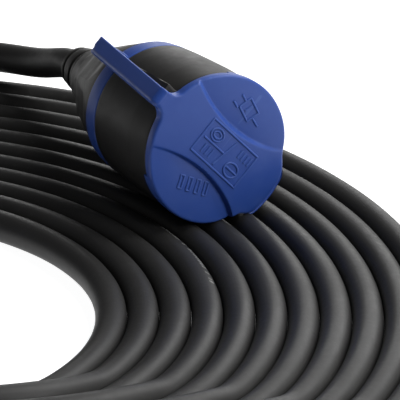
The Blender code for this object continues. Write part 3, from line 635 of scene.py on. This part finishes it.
def outline_support(radius, arc_deg, corner, bulges_deg, half_deg):
    """The distance of a turn's tangent from the coil's centre, and its slope, by direction.

    The turn is a true circle over the arc. Away from it the bend tightens to the corner radius,
    and two bulges of larger radius close the loop.
    """
    grid = np.radians(np.arange(-180.0, 180.0 + GRID_DEG, GRID_DEG))

    def away(centre_deg):
        return (grid - math.radians(centre_deg) + math.pi) % (2 * math.pi) - math.pi

    middle = sum(arc_deg) / 2
    half = math.radians(arc_deg[1] - arc_deg[0]) / 2
    weight = eased((np.abs(away(middle)) - half) / math.radians(CORNER_BLEND_DEG), 0.0, 1.0)
    base = -(radius - corner) * weight
    reach = math.radians(half_deg)
    humps = []
    for bulge in bulges_deg:
        off = away(bulge)
        humps.append(np.where(np.abs(off) < reach, np.cos(math.pi * off / (2 * reach)) ** 2, 0) * weight)
    closing = [[np.sum(hump[:-1] * f(grid[:-1])) for hump in humps] for f in (np.cos, np.sin)]
    open_by = [-np.sum(base[:-1] * f(grid[:-1])) for f in (np.cos, np.sin)]
    amounts = np.linalg.solve(closing, open_by)
    change = base + amounts[0] * humps[0] + amounts[1] * humps[1]
    start = int(np.argmin(np.abs(away(middle))))
    step = grid[1] - grid[0]

    def running(values):
        total = np.concatenate([[0.0], np.cumsum((values[1:] + values[:-1]) / 2 * step)])
        return total - total[start]

    cosine, sine = running(change * np.cos(grid)), running(change * np.sin(grid))
    support = radius + np.sin(grid) * cosine - np.cos(grid) * sine
    slope = np.cos(grid) * cosine + np.sin(grid) * sine
    return grid, support, slope


INNER = outline_support(INNER_RADIUS, INNER_ARC_DEG, INNER_CORNER, INNER_BULGES_DEG, INNER_BULGE_HALF_DEG)
OUTER = outline_support(
    INNER_RADIUS + TURNS * PITCH, OUTER_ARC_DEG, OUTER_CORNER, OUTER_BULGES_DEG, OUTER_BULGE_HALF_DEG
)


def read_outline(outline, angle):
    angle = (angle + math.pi) % (2 * math.pi) - math.pi
    return np.interp(angle, outline[0], outline[1]), np.interp(angle, outline[0], outline[2])


def seam_angle(turn):
    return math.radians(SEAM_DEG) - 2 * math.pi * turn


def lead_line(turn, outward=0.0):
    """A point on the spiral's centre line after so many turns, moved outward from the centre."""
    angle = seam_angle(turn)
    inner, inner_slope = read_outline(INNER, angle)
    outer, outer_slope = read_outline(OUTER, angle)
    support = inner + (outer - inner) * turn / TURNS
    slope = inner_slope + (outer_slope - inner_slope) * turn / TURNS
    slope -= (outer - inner) / TURNS / (2 * math.pi)
    support += outward
    x = support * math.cos(angle) - slope * math.sin(angle)
    y = support * math.sin(angle) + slope * math.cos(angle)
    return np.array((COIL_CENTRE[0] + x, COIL_CENTRE[1] + y))


def onward(turn):
    """The lead's heading after so many turns."""
    angle = seam_angle(turn)
    return np.array((math.sin(angle), -math.cos(angle), 0.0))


def turn_lift(turn):
    """Where turns crowd, every second one rides up on its neighbours."""
    if math.floor(turn) % 2 == 0:
        return 0.0
    angle = seam_angle(turn)
    gap = (read_outline(OUTER, angle)[0] - read_outline(INNER, angle)[0]) / TURNS
    return math.sqrt(max(0.0, LEAD_D**2 - gap**2))


# Places in millimetres that the two ends of the lead pass on their way up from the coil.
LEAD_OUT_VIA = (
    (-145.5, -18.0, 13.9),
    (-122.0, -3.8, 19.4),
    (-95.0, 0.2, 25.9),
)
TAIL_VIA = (
    (-40.7, -88.8, 10.7),
    (-50.6, -108.1, 21.0),
    (-71.1, -146.6, 36.7),
    (-70.9, -189.3, 44.2),
    (-42.4, -219.5, 48.6),
)
LEAD_OUT_OUTWARD = 1.1 * MM
SETTLE_TURN = 0.25
COIL_STEP_TURN = 0.0045
RIPPLE = 0.4 * MM
RIPPLE_WAVES = 4
RIPPLE_SEED = 11
END_GAP = 0.3
IN_BOOT = 1.0
IN_PLUG = 2.0
SMOOTHING_PASSES = 2


def lead_path():
    """The whole lead, from the coupling's boot through the coil to the plug, as even points."""
    coupling_dir = np.array(coupling_axis.to_3x3() @ Vector((1.0, 0.0, 0.0)))
    boot_end = np.array(coupling_axis @ Vector(((BOOT_REAR - END_GAP) * MM, 0.0, 0.0)))
    start = np.array((*lead_line(LEAVE_TURN + 2 * STEP_TURN, LEAD_OUT_OUTWARD), LEAD_R))
    rise = np.array((*lead_line(RISE_TURN, RISE_OUTWARD), RISE_HEIGHT))
    knots = [start, rise, *(np.array(LEAD_OUT_VIA) * MM), boot_end]
    lead_out = smooth_route(knots, onward(LEAVE_TURN), coupling_dir, RING_STEP)[::-1]
    lead_out = np.concatenate([[boot_end + coupling_dir * (IN_BOOT + END_GAP) * MM], lead_out])

    random = np.random.default_rng(RIPPLE_SEED)
    phases = random.uniform(0.0, 2 * math.pi, (TURNS + 1, 2))
    coil = []
    for turn in np.arange(LEAVE_TURN, TAIL_TURN, -COIL_STEP_TURN):
        ends = eased(LEAVE_TURN - turn, 0.0, SETTLE_TURN) * eased(turn - TAIL_TURN, 0.0, SETTLE_TURN)
        lap = int(turn)
        within = turn - lap
        quiet = math.sin(math.pi * within) ** 2 * ends
        wave = math.sin(2 * math.pi * RIPPLE_WAVES * within + phases[lap, 0])
        hump = 1 + wave * math.sin(2 * math.pi * within + phases[lap, 1])
        outward = LEAD_OUT_OUTWARD * (1 - eased(LEAVE_TURN - turn, 0.0, SETTLE_TURN))
        height = SHEATH_R + turn_lift(turn) + RIPPLE / 2 * hump * quiet
        coil.append((*lead_line(turn, outward), height))

    tail_start = np.array((*lead_line(TAIL_TURN - 3 * STEP_TURN), LEAD_R))
    tail_end = np.array(PLUG_ORIGIN) - np.array((END_GAP * MM, 0.0, 0.0))
    knots = [tail_start, *(np.array(TAIL_VIA) * MM), tail_end]
    forward = np.array((1.0, 0.0, 0.0))
    tail = smooth_route(knots, -onward(TAIL_TURN), forward, RING_STEP)
    tail = np.concatenate([tail, [tail_end + forward * IN_PLUG * MM]])
    return np.concatenate([lead_out, coil, tail])


def make_lead():
    path, along = even_steps(lead_path(), RING_STEP)
    for _ in range(SMOOTHING_PASSES):
        path[1:-1] = (path[:-2] + 2 * path[1:-1] + path[2:]) / 4
    verts, faces = swept(path, SHEATH_R, LEAD_SIDES)
    lead = add_piece("lead", verts, faces, "lead_sheath", tidy=False)
    layer = lead.data.uv_layers.new(name="along")
    rings = len(path)
    corner_vert = np.empty(len(lead.data.loops), int)
    lead.data.loops.foreach_get("vertex_index", corner_vert)
    ring, side = corner_vert // LEAD_SIDES, corner_vert % LEAD_SIDES
    uv = np.stack([along[np.clip(ring, 0, rings - 1)], side / LEAD_SIDES], axis=1)
    body_corners = (rings - 1) * LEAD_SIDES * 4
    wraps = np.zeros(len(uv), bool)
    wraps[:body_corners] = np.repeat(np.arange(body_corners // 4) % LEAD_SIDES == LEAD_SIDES - 1, 4)
    uv[wraps & (side == 0), 1] = 1.0
    layer.data.foreach_set("uv", uv.astype(np.float32).ravel())
    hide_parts("cable_coil", "cable_lead_out", "cable_tail")
    return lead, path


# ---- coupling body, boot and collar


# The raised land under the strap: its two ends, its height there and its two sides.
LAND_SPAN = (-7.3, -44.6)
LAND_TOP = (30.4, 26.7)
LAND_LEFT = -3.2
LAND_SKEW = 0.0935
LAND_RIGHT = 6.6
LAND_REACH = 0.6
LAND_MIN_R = 24.0
LAND_EDGE_OUT = 0.5
LAND_EDGE_IN = 0.4
LAND_END_EDGE = 0.3
# The barrel's shoulder stands further forward near the strap.
SHOULDER_X = -7.0
SHOULDER_START = -9.0
SHOULDER_MIN_R = 25.25
SHOULDER_FORWARD = 2.7
SHOULDER_DEG = 57.0
SHOULDER_EASE_DEG = (-2.0, 12.0)
# The flats round the rear cone.
FLATS = 8
FLAT_DEPTH = 0.9
FLATS_START = (57.0, 64.0)
FLATS_END = (78.0, 89.0)
FLATS_SPAN = (-56.0, -90.0)
BORE_CLEAR_R = 10.0
BODY_OUTSIDE = [
    (-3.4, 24.7), (-3.9, 25.2, 0.0), (-7.0, 25.24, 0.0), (-7.0, 26.1, 0.1), (-7.6, 26.6, 0.8),
    (-18.0, 26.8, 30.0), (-30.0, 26.4, 30.0), (-38.0, 26.05, 30.0), (-44.9, 25.6, 0.5),
    (-44.9, 23.2, 0.1), (-53.3, 23.2, 0.1), (-53.3, 24.05, 0.5), (-56.0, 23.5, 4.0),
    (-60.0, 22.3, 6.0), (-66.0, 20.5, 8.0), (-72.0, 18.5, 8.0), (-76.0, 17.1, 8.0), (-81.0, 14.8, 8.0),
    (-86.0, 12.5, 8.0), (-91.7, 10.7, 0.8),
]
BODY_INSIDE = [(-91.7, 5.7), (-72.0, 5.7), (-62.0, 16.0), (-38.0, 16.0), (-38.0, 22.0), (-3.4, 22.0, 0.2)]
BODY_STEP = 1.1
NEAR_STRAP_DEG = 20.0
NEAR_STEP_DEG = 0.8
FAR_STEP_DEG = 2.0
BOOT_OUTLINE = [
    (-91.9, 9.9), (-95.0, 9.4), (-95.2, 6.6), (-96.8, 6.6), (-97.0, 9.0), (-101.5, 8.2), (-101.7, 5.9),
    (-103.1, 5.9), (-103.3, 7.8), (-105.0, 7.5), (-105.9, 6.9), (-106.3, 5.9), (-106.3, 5.45),
    (-91.9, 5.45),
]
COLLAR_OUTLINE = [(-45.2, 25.6), (-49.1, 25.3, 3.0), (-53.0, 24.8), (-53.0, 23.4), (-45.2, 23.4)]
LUG_LOW = (-52.8, 1.3, 23.9)
LUG_HIGH = (-45.4, 8.3, 26.8)


def body_shape(x, r, angle):
    """Adds the land under the strap, the shoulder near it and the flats round the rear cone."""
    beyond_bore = r > BORE_CLEAR_R
    land = np.interp(-x, [-LAND_SPAN[0], -LAND_SPAN[1]], LAND_TOP)
    if abs(angle) < LAND_REACH or abs(angle - 2 * math.pi) < LAND_REACH:
        level = land / math.cos(angle)
        across = land * math.tan(angle)
        left_side = LAND_LEFT + LAND_SKEW * -x
        beside = eased(across - left_side, -LAND_EDGE_OUT, LAND_EDGE_IN)
        beside = beside * (1 - eased(across, LAND_RIGHT - LAND_EDGE_IN, LAND_RIGHT + LAND_EDGE_OUT))
        along = eased(-x, -LAND_SPAN[0] - LAND_END_EDGE, -LAND_SPAN[0] + LAND_END_EDGE)
        along = along * (1 - eased(-x, -LAND_SPAN[1] - LAND_END_EDGE, -LAND_SPAN[1] + LAND_END_EDGE))
        raised = np.maximum(level - r, 0.0) * beside * along
        r = r + np.where(r > LAND_MIN_R, raised, 0.0)
    from_strap = abs((math.degrees(angle) + 180.0) % 360.0 - 180.0)
    set_back = eased(from_strap, SHOULDER_DEG + SHOULDER_EASE_DEG[0], SHOULDER_DEG + SHOULDER_EASE_DEG[1])
    forward = SHOULDER_FORWARD * (1 - float(set_back))
    shoulder = (r > SHOULDER_MIN_R) & (x > SHOULDER_START)
    x = np.where(shoulder, x + forward * eased(x, SHOULDER_START, SHOULDER_X), x)
    pitch = 2 * math.pi / FLATS
    off = (angle + pitch / 2) % pitch - pitch / 2
    depth = FLAT_DEPTH * eased(-x, *FLATS_START) * (1 - eased(-x, *FLATS_END))
    flat = (r - depth) / math.cos(off)
    on_cone = beyond_bore & (x < FLATS_SPAN[0]) & (x > FLATS_SPAN[1])
    return x, np.where(on_cone, np.minimum(r, flat), r)


def make_body():
    profile = filled_in(rounded(BODY_OUTSIDE + BODY_INSIDE, radius=0.3), BODY_STEP)
    near = np.arange(-NEAR_STRAP_DEG, NEAR_STRAP_DEG, NEAR_STEP_DEG)
    around = np.concatenate([near, np.arange(NEAR_STRAP_DEG, 360.0 - NEAR_STRAP_DEG, FAR_STEP_DEG)])
    verts, faces = lathe(profile, around, body_shape)
    body = add_piece("body_shell", verts, faces, "black_rubber", COUPLING)
    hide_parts("coupling_body")


def make_boot():
    boot = turned_piece("boot", BOOT_OUTLINE, "black_rubber", UPRIGHT, radius=0.3)
    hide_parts("cable_boot")


def make_collar():
    band = lathe(rounded(COLLAR_OUTLINE, radius=0.45), even_angles(160))
    lug = soft_block(LUG_LOW, LUG_HIGH, radius=0.6)
    collar = add_piece("collar_band", *merged([band, lug]), "blue_elastomer", COUPLING)
    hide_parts("collar_ring")


# ---- splash cap and its strap


# Laid out flat, y runs across and z or t runs up along the strap, from the cap's centre.
CAP_R = 27.6
TAB_REACH = 4.5
TAB_DEG = (146.0, 166.0, 193.0, 207.0)
STRAP_HALF = 3.5
NECK_FILLET = 4.5
FILLET_Y = STRAP_HALF + NECK_FILLET
NECK_CENTRE = (FILLET_Y, math.sqrt((CAP_R + NECK_FILLET) ** 2 - FILLET_Y**2))
NECK_DEG = math.degrees(math.atan2(NECK_CENTRE[0], NECK_CENTRE[1]))
NECK_TOP = NECK_CENTRE[1]
FOLD_R = 3.2
STRAP_FALL_DEG = 5.8
STRAP_TOP_AT_FOLD = 30.36
STRAP_RUN = 60.8
STRAP_DRIFT = 5.8
FOLD = math.radians(90.0 + STRAP_FALL_DEG)
FOLD_END = STRAP_TOP_AT_FOLD + FOLD_R * FOLD
CAP_THICK = 3.4
STRAP_THICK = 2.2
THINNING = (28.0, 34.0)
# The front: a low dome, a little proud of the strap, that falls back towards the lifting tab.
DOME_RISE = 1.2
DOME_LEAST = -0.2
FRONT_PROUD = 0.5
PROUD_UP_TO = 24.0
TAB_FALL = 2.9
TAB_FALL_START = 14.0
TAB_FALL_RUN = 17.0
# Each side of the raised band: its place at the waist, the waist's height and the side's radius.
BAND_LEFT = (-8.7, -0.5, 53.0)
BAND_RIGHT = (8.3, 2.5, 52.0)
# The pads beside the band: depth, width of the step, and the heights between which the depth changes.
LEFT_PAD_DEPTH = 2.0
LEFT_PAD_STEP = 1.1
LEFT_PAD_HEIGHTS = (6.0, 23.0)
RIGHT_PAD_DEPTH = 1.7
RIGHT_PAD_STEP = 1.7
RIGHT_PAD_HEIGHTS = (-23.0, -2.0)
PAD_LEAST = 0.12
PAD_FADE = 11.0
# Rounding of the outer edge: on the cap, more on the tab, and on the strap's two sides.
RIM_SOFT = 0.9
TAB_SOFT = 1.3
STRAP_LEFT_SOFT = 1.7
STRAP_RIGHT_SOFT = 0.6
STRAP_LEFT_Y = -1.0
SOFT_CHANGE = 4.0
BACK_SOFT = 0.4
# The mesh: distances of its rows from the edges, as shares of the rounding or in millimetres.
RIM_STEPS = (1.0, 0.72, 0.48, 0.28, 0.12, 0.03, 0.0)
LEFT_STEPS = (0.0, 0.05, 0.15, 0.32, 0.55, 0.85, 1.2, 1.6)
RIGHT_STEPS = (0.0, 0.06, 0.16, 0.3, 0.5, 0.8)
MIDDLE_COLUMNS = [-1.2, -0.4, 0.4, 1.2, 2.0]
CAP_RAYS = 430
CAP_RINGS = 66
FOLD_ROWS = 12
STRAP_ROWS = 44
# The skirt behind the cap, open near the strap.
SKIRT_OUTLINE = [(-2.6, 27.25), (-6.5, 27.25), (-6.5, 25.9), (-2.6, 25.9)]
SKIRT_DEG = (60.0, 301.0, 2.0)
# The outline of the cap's seal lip.
CAP_SEAL_OUTLINE = [
    (-3.1, 18.2), (-3.1, 19.5), (-4.6, 19.35), (-6.9, 19.25), (-7.6, 18.8, 0.3), (-6.9, 18.4),
    (-4.6, 18.35),
]


def tab_share(angle_deg):
    return eased(angle_deg, TAB_DEG[0], TAB_DEG[1]) * (1 - eased(angle_deg, TAB_DEG[2], TAB_DEG[3]))


def edge_rounding(angle_deg):
    return RIM_SOFT + TAB_SOFT * float(tab_share(angle_deg % 360.0))


def cap_reach(angle_deg):
    """Distance from the cap's centre to its edge. The angle runs from the strap's side."""
    wrapped = abs((angle_deg + 180.0) % 360.0 - 180.0)
    if wrapped >= NECK_DEG:
        return CAP_R + TAB_REACH * float(tab_share(angle_deg % 360.0))
    ahead = math.sin(math.radians(wrapped)) * NECK_CENTRE[0]
    ahead += math.cos(math.radians(wrapped)) * NECK_CENTRE[1]
    short = NECK_CENTRE[0] ** 2 + NECK_CENTRE[1] ** 2 - NECK_FILLET**2
    return ahead - math.sqrt(max(0.0, ahead**2 - short))


def arc_side(edge, z):
    middle, centre, radius = edge
    return middle + math.copysign(radius - math.sqrt(radius**2 - (z - centre) ** 2), middle)


def pad_drop(past, depth, step, share):
    """How far a pad lies below the band, so far past the band's side."""
    drop = depth * (PAD_LEAST + (1 - PAD_LEAST) * share)
    return drop * float(eased(past, 0.0, step)) * math.exp(-max(0.0, past - step) / PAD_FADE)


def cap_height(y, z):
    """How far the cap's front stands forward: a low dome with a raised waisted band between two pads."""
    if z > NECK_TOP:
        return 0.0
    dome = DOME_RISE * max(DOME_LEAST, 1 - (y * y + z * z) / CAP_R**2)
    surface = dome + FRONT_PROUD * (1 - float(eased(z, PROUD_UP_TO, NECK_TOP)))
    surface -= TAB_FALL * min(1.0, max(0.0, (-z - TAB_FALL_START) / TAB_FALL_RUN)) ** 2
    left = arc_side(BAND_LEFT, z) - y
    right = y - arc_side(BAND_RIGHT, z)
    if left > 0:
        share = 1 - float(eased(z, *LEFT_PAD_HEIGHTS))
        surface -= pad_drop(left, LEFT_PAD_DEPTH, LEFT_PAD_STEP, share)
    if right > 0:
        share = float(eased(z, *RIGHT_PAD_HEIGHTS))
        surface -= pad_drop(right, RIGHT_PAD_DEPTH, RIGHT_PAD_STEP, share)
    return surface


def edge_distance(y, t):
    """Distance in from the outline of cap, neck and strap, laid out flat."""
    if t > NECK_TOP:
        return min(STRAP_HALF - abs(y), FOLD_END + STRAP_RUN - t)
    angle = math.degrees(math.atan2(y, t))
    if abs(angle) < NECK_DEG:
        return math.hypot(abs(y) - NECK_CENTRE[0], t - NECK_CENTRE[1]) - NECK_FILLET
    return cap_reach(angle) - math.hypot(y, t)


def edge_drop(distance, radius):
    inset = max(0.0, radius - distance)
    return radius - math.sqrt(max(0.0, radius**2 - inset**2))


def folded(y, t, out):
    """From the flat layout to the real shape: the strap folds back over the body."""
    if t <= STRAP_TOP_AT_FOLD:
        return (out, y, t)
    turn = min((t - STRAP_TOP_AT_FOLD) / FOLD_R, FOLD)
    x = -FOLD_R + (FOLD_R + out) * math.cos(turn)
    z = STRAP_TOP_AT_FOLD + (FOLD_R + out) * math.sin(turn)
    past = max(0.0, t - FOLD_END)
    fall = math.radians(STRAP_FALL_DEG)
    return (x - past * math.cos(fall), y + STRAP_DRIFT * past / STRAP_RUN, z - past * math.sin(fall))


def cap_layout():
    """The flat grid of cap and strap: points (across, along) and faces."""
    columns = [-STRAP_HALF + step for step in LEFT_STEPS] + MIDDLE_COLUMNS
    columns += [STRAP_HALF - step for step in reversed(RIGHT_STEPS)]
    edge_deg = math.degrees(math.atan2(STRAP_HALF, NECK_TOP))
    strap_deg = [math.degrees(math.atan2(y, NECK_TOP)) for y in columns]
    rest = np.linspace(edge_deg, 360.0 - edge_deg, CAP_RAYS)[1:-1]
    points, faces = [], []
    rays = []
    for number, angle in enumerate([*strap_deg, *rest]):
        on_strap = number < len(columns)
        reach = NECK_TOP / math.cos(math.radians(angle)) if on_strap else cap_reach(angle)
        soft = edge_rounding(angle)
        stops = list(np.linspace(0.0, reach - soft, CAP_RINGS))
        stops += [reach - soft * step for step in RIM_STEPS[1:]]
        turn = math.radians(angle)
        rays.append(list(range(len(points), len(points) + len(stops))))
        points += [(stop * math.sin(turn), stop * math.cos(turn)) for stop in stops]
    for i, ray in enumerate(rays):
        following = rays[(i + 1) % len(rays)]
        for k in range(len(ray) - 1):
            faces.append((ray[k], ray[k + 1], following[k + 1], following[k]))
    row = [ray[-1] for ray in rays[: len(columns)]]
    tip = FOLD_END + STRAP_RUN
    stops = list(np.linspace(NECK_TOP, FOLD_END, FOLD_ROWS))[1:]
    stops += list(np.linspace(FOLD_END, tip - RIGHT_STEPS[-1], STRAP_ROWS))[1:]
    stops += [tip - step for step in reversed(RIGHT_STEPS[:-1])]
    for stop in stops:
        fresh = list(range(len(points), len(points) + len(columns)))
        points += [(y, stop) for y in columns]
        for k in range(len(columns) - 1):
            faces.append((row[k], fresh[k], fresh[k + 1], row[k + 1]))
        row = fresh
    return points, faces


def make_cap():
    points, faces = cap_layout()
    front, back = [], []
    for y, t in points:
        inset = edge_distance(y, t)
        soft = edge_rounding(math.degrees(math.atan2(y, t))) if t < 0 else RIM_SOFT
        if t > NECK_TOP - SOFT_CHANGE:
            side = STRAP_LEFT_SOFT if y < STRAP_LEFT_Y else STRAP_RIGHT_SOFT
            soft += (side - soft) * float(eased(t, NECK_TOP - SOFT_CHANGE, NECK_TOP))
        thick = CAP_THICK + (STRAP_THICK - CAP_THICK) * float(eased(t, *THINNING))
        front.append(folded(y, t, cap_height(y, t) - edge_drop(inset, soft)))
        back.append(folded(y, t, -thick + edge_drop(inset, BACK_SOFT)))
    count = len(points)
    sides = {}
    for face in faces:
        for a, b in zip(face, face[1:] + face[:1]):
            sides[(a, b)] = True
    walls = [(a, b, b + count, a + count) for a, b in sides if (b, a) not in sides]
    walls = [wall for wall in walls if math.hypot(*points[wall[0]]) > 1.0]
    back_faces = [tuple(index + count for index in reversed(face)) for face in faces]
    sheet = (front + back, faces + back_faces + walls)
    skirt = lathe(rounded(SKIRT_OUTLINE, radius=0.35), np.arange(*SKIRT_DEG), whole=False)
    verts, faces = merged([sheet, skirt])
    cap = add_piece("cap_and_strap", verts, faces, "blue_elastomer", COUPLING, body=None, sharp_deg=40.0)
    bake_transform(cap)
    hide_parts("cap", "strap")


def ring_points(y, z, across, tall, steps=20):
    turn = np.linspace(0.0, 2 * math.pi, steps)
    return [(y + across * math.sin(a), z + tall * math.cos(a)) for a in turn]


def turned_box(y, z, across, tall, lean_deg):
    """A closed box outline about a centre, leaned clockwise."""
    cosine, sine = math.cos(math.radians(lean_deg)), math.sin(math.radians(lean_deg))
    corners = [(-across, tall), (across, tall), (across, -tall), (-across, -tall), (-across, tall)]
    return [(y + u * cosine + v * sine, z - u * sine + v * cosine) for u, v in corners]


# Moulded marks: the lines' radius, flatness and height above the cap, and the step along them.
MARK_R = 0.44
MARK_FLATNESS = 0.75
MARK_LIFT = 0.1
MARK_STEP = 0.7
# The panel: its frame, two columns of short bars, three rings and three straight lines.
PANEL_FRAME = (0.5, -2.0, 6.9, 12.4, 0.0)
LEFT_BARS = (-4.6, -1.2, (6.6, 4.6, 2.6))
RIGHT_BARS = (2.4, 5.6, (-7.4, -9.2, -11.0, -12.8))
PANEL_RINGS = ((3.6, 5.2, 2.3, 2.9), (3.6, 5.2, 1.2, 1.7), (-2.6, -8.6, 2.6, 3.2))
PANEL_LINES = [[(-5.2, -0.8), (6.2, -3.4)], [(-2.6, -5.4), (-2.6, -11.8)], [(0.2, 9.2), (0.2, -1.6)]]
SIGN_FRAME = (18.0, 0.6, 2.6, 3.4, 18.0)
SIGN_LINES = [
    [(15.9, 5.2), (16.7, 8.0)], [(19.6, 4.0), (20.5, 6.8)],
    [(16.6, -2.6), (15.6, -6.6)], [(16.8, 1.6), (19.6, 0.6)],
]
BAR_COUNT = 4
BAR_START = (-17.2, 3.9)
BAR_SHIFT = (1.3, -3.4)
BAR_SHAPE = (2.4, 0.75, -24.0)


def relief(name, strokes):
    """Raised lines that follow the cap's front."""
    parts = []
    for stroke in strokes:
        flat = filled_in(np.array(stroke, float), MARK_STEP, closed=False)
        line = [(cap_height(y, z) + MARK_LIFT, y, z) for y, z in flat]
        parts.append(swept(line, MARK_R, flat=MARK_FLATNESS, up=(1.0, 0.0, 0.0)))
    add_piece(name, *merged(parts), "blue_elastomer", COUPLING, body="splash_cap", tidy=False)


def make_marks():
    """Plain moulded marks: a framed panel with a grid and rings, a socket sign and four bars."""
    bars = [[(left, z), (right, z)] for left, right, heights in (LEFT_BARS, RIGHT_BARS) for z in heights]
    rings = [ring_points(*ring) for ring in PANEL_RINGS]
    relief("panel_mark", [turned_box(*PANEL_FRAME), *bars, *rings, *PANEL_LINES])
    relief("socket_mark", [turned_box(*SIGN_FRAME), *SIGN_LINES])
    places = [(BAR_START[0] + BAR_SHIFT[0] * k, BAR_START[1] + BAR_SHIFT[1] * k) for k in range(BAR_COUNT)]
    relief("bar_marks", [turned_box(y, z, *BAR_SHAPE) for y, z in places])


def make_cap_seal():
    seal = turned_piece(
        "cap_seal_lip", CAP_SEAL_OUTLINE, "seal_rubber", UPRIGHT, sides=120, body="splash_cap", radius=0.25
    )
    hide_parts("cap_seal")


# ---- socket insert


# The insert and what is cut out of it. The contact holes' cutters start behind its back.
INSERT_OUTLINE = [
    (-36.0, 0.02, 0.0), (-36.0, 21.7), (-4.2, 21.7), (-4.2, 19.75, 0.5), (-21.7, 19.75, 0.8),
    (-21.7, 0.02, 0.0),
]
BEHIND = -37.0
HOLE_Y = 9.5
HOLE_R = 2.75
HOLE_MOUTH = 0.5
HOLE_END = -21.2
SLEEVE_R = 3.9
SLEEVE_END = -24.0
# Slots for the earth springs: from the back through the floor, and along the recess wall.
FLOOR_SLOT = (17.5, 19.4)
FLOOR_SLOT_HALF = 3.4
FLOOR_SLOT_END = -20.0
WALL_SLOT = (18.5, 20.9)
WALL_SLOT_HALF = 2.6
WALL_SLOT_SPAN = (-21.0, -2.0)


def rod(start, end, radius, y=0.0, z=0.0, sides=40, mouth=0.0):
    """A cutter along X, with a flare at its front end."""
    stations = [(start, radius), (end - mouth, radius), (end, radius + mouth)]
    turn = np.linspace(0.0, 2 * math.pi, sides, endpoint=False)
    verts = [(x, y + r * math.sin(a), z + r * math.cos(a)) for x, r in stations for a in turn]
    return verts, tube_faces(len(stations), sides), UPRIGHT


def make_insert():
    profile = rounded(INSERT_OUTLINE, radius=0.3)
    insert = add_piece("socket_insert", *lathe(profile, even_angles(128)), "black_thermoset", UPRIGHT)
    cutters = [rod(BEHIND, HOLE_END, HOLE_R, side * HOLE_Y, mouth=HOLE_MOUTH) for side in (-1, 1)]
    cutters += [rod(BEHIND, SLEEVE_END, SLEEVE_R, side * HOLE_Y) for side in (-1, 1)]
    for side in (-1, 1):
        low, high = sorted(side * height for height in FLOOR_SLOT)
        corner = (FLOOR_SLOT_END, FLOOR_SLOT_HALF, high)
        cutters.append((*soft_block((BEHIND, -FLOOR_SLOT_HALF, low), corner, radius=0.2), UPRIGHT))
        low, high = sorted(side * height for height in WALL_SLOT)
        start, end = WALL_SLOT_SPAN
        corner = (end, high, WALL_SLOT_HALF)
        cutters.append((*soft_block((start, low, -WALL_SLOT_HALF), corner, radius=0.3), UPRIGHT))
    carved(insert, cutters)
    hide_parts("contact_insert")


# ---- plug


RIDGE_EASE = 2.0
RIDGE_MIN_R = 14.2
NUT_OUTLINE = [
    (0.0, 15.0), (1.5, 16.6), (17.0, 18.6), (18.0, 18.0), (18.0, 14.7), (4.0, 14.7), (4.0, 5.8), (0.0, 5.8),
]
HOUSING_OUTLINE = [
    (6.0, 14.4), (18.5, 14.4), (18.5, 17.6, 0.6), (24.0, 18.6, 6.0), (40.0, 21.4, 12.0), (60.0, 23.6, 12.0),
    (82.0, 25.0, 0.8), (83.0, 27.0, 0.5), (92.0, 27.0, 0.8), (93.7, 25.8),
    (93.7, 23.5), (84.0, 23.5), (84.0, 21.9), (58.0, 20.4), (40.0, 18.0), (24.0, 14.0), (20.0, 9.2),
    (6.0, 9.2),
]
SHROUD_OUTLINE = [
    (84.3, 23.2), (94.0, 23.2), (94.0, 25.8), (98.0, 25.4, 1.0), (100.0, 24.5, 1.0), (134.3, 24.5),
    (135.0, 23.9), (135.0, 22.4), (134.4, 21.9), (84.3, 21.9),
]
KEY_LOW = (96.0, -2.6, -26.2)
KEY_HIGH = (134.0, 2.6, -23.0)
# Grip ridges: how many, how deep, where they start and end.
NUT_RIDGES = (24, 0.7, 1.0, 17.5)
HOUSING_RIDGES = (30, 0.8, 27.0, 76.0)


def ridged(count, depth, start, end):
    """Lengthwise grip ridges between two places along the axis."""

    def shape(x, r, angle):
        wave = 0.5 + 0.5 * math.cos(count * angle)
        share = eased(x, start, start + RIDGE_EASE) * (1 - eased(x, end - RIDGE_EASE, end))
        return x, np.where(r > RIDGE_MIN_R, r - depth * wave * share, r)

    return shape


def make_plug():
    ridges = ridged(*NUT_RIDGES)
    nut = turned_piece("nut", NUT_OUTLINE, "blue_polyamide", PLUG, sides=216, shape=ridges, step=1.2)
    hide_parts("gland_nut")
    ridges = ridged(*HOUSING_RIDGES)
    shell = turned_piece(
        "plug_shell", HOUSING_OUTLINE, "blue_polyamide", PLUG, sides=240, shape=ridges, step=1.5
    )
    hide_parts("plug_housing")
    tube = lathe(rounded(SHROUD_OUTLINE, radius=0.4), even_angles(144))
    key = soft_block(KEY_LOW, KEY_HIGH, radius=0.6)
    sleeve = add_piece("plug_sleeve", *merged([tube, key]), "blue_polyamide", PLUG)
    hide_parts("plug_shroud")
    return [nut, shell, sleeve]


# ---- build


set_camera()
lay_floor()
light_studio()
lead, lead_points = make_lead()
make_body()
make_boot()
make_collar()
make_cap()
make_marks()
make_cap_seal()
make_insert()
plug_pieces = make_plug()
finish_cad_nodes()

ON_PLUG = (
    "gland_seal plug_sheath_end pin_carrier line_pin neutral_pin earth_pin line_pin_screw neutral_pin_screw"
    " earth_pin_screw plug_line_core plug_neutral_core plug_earth_core"
)
plug_pieces += [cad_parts[name] for name in ON_PLUG.split()]
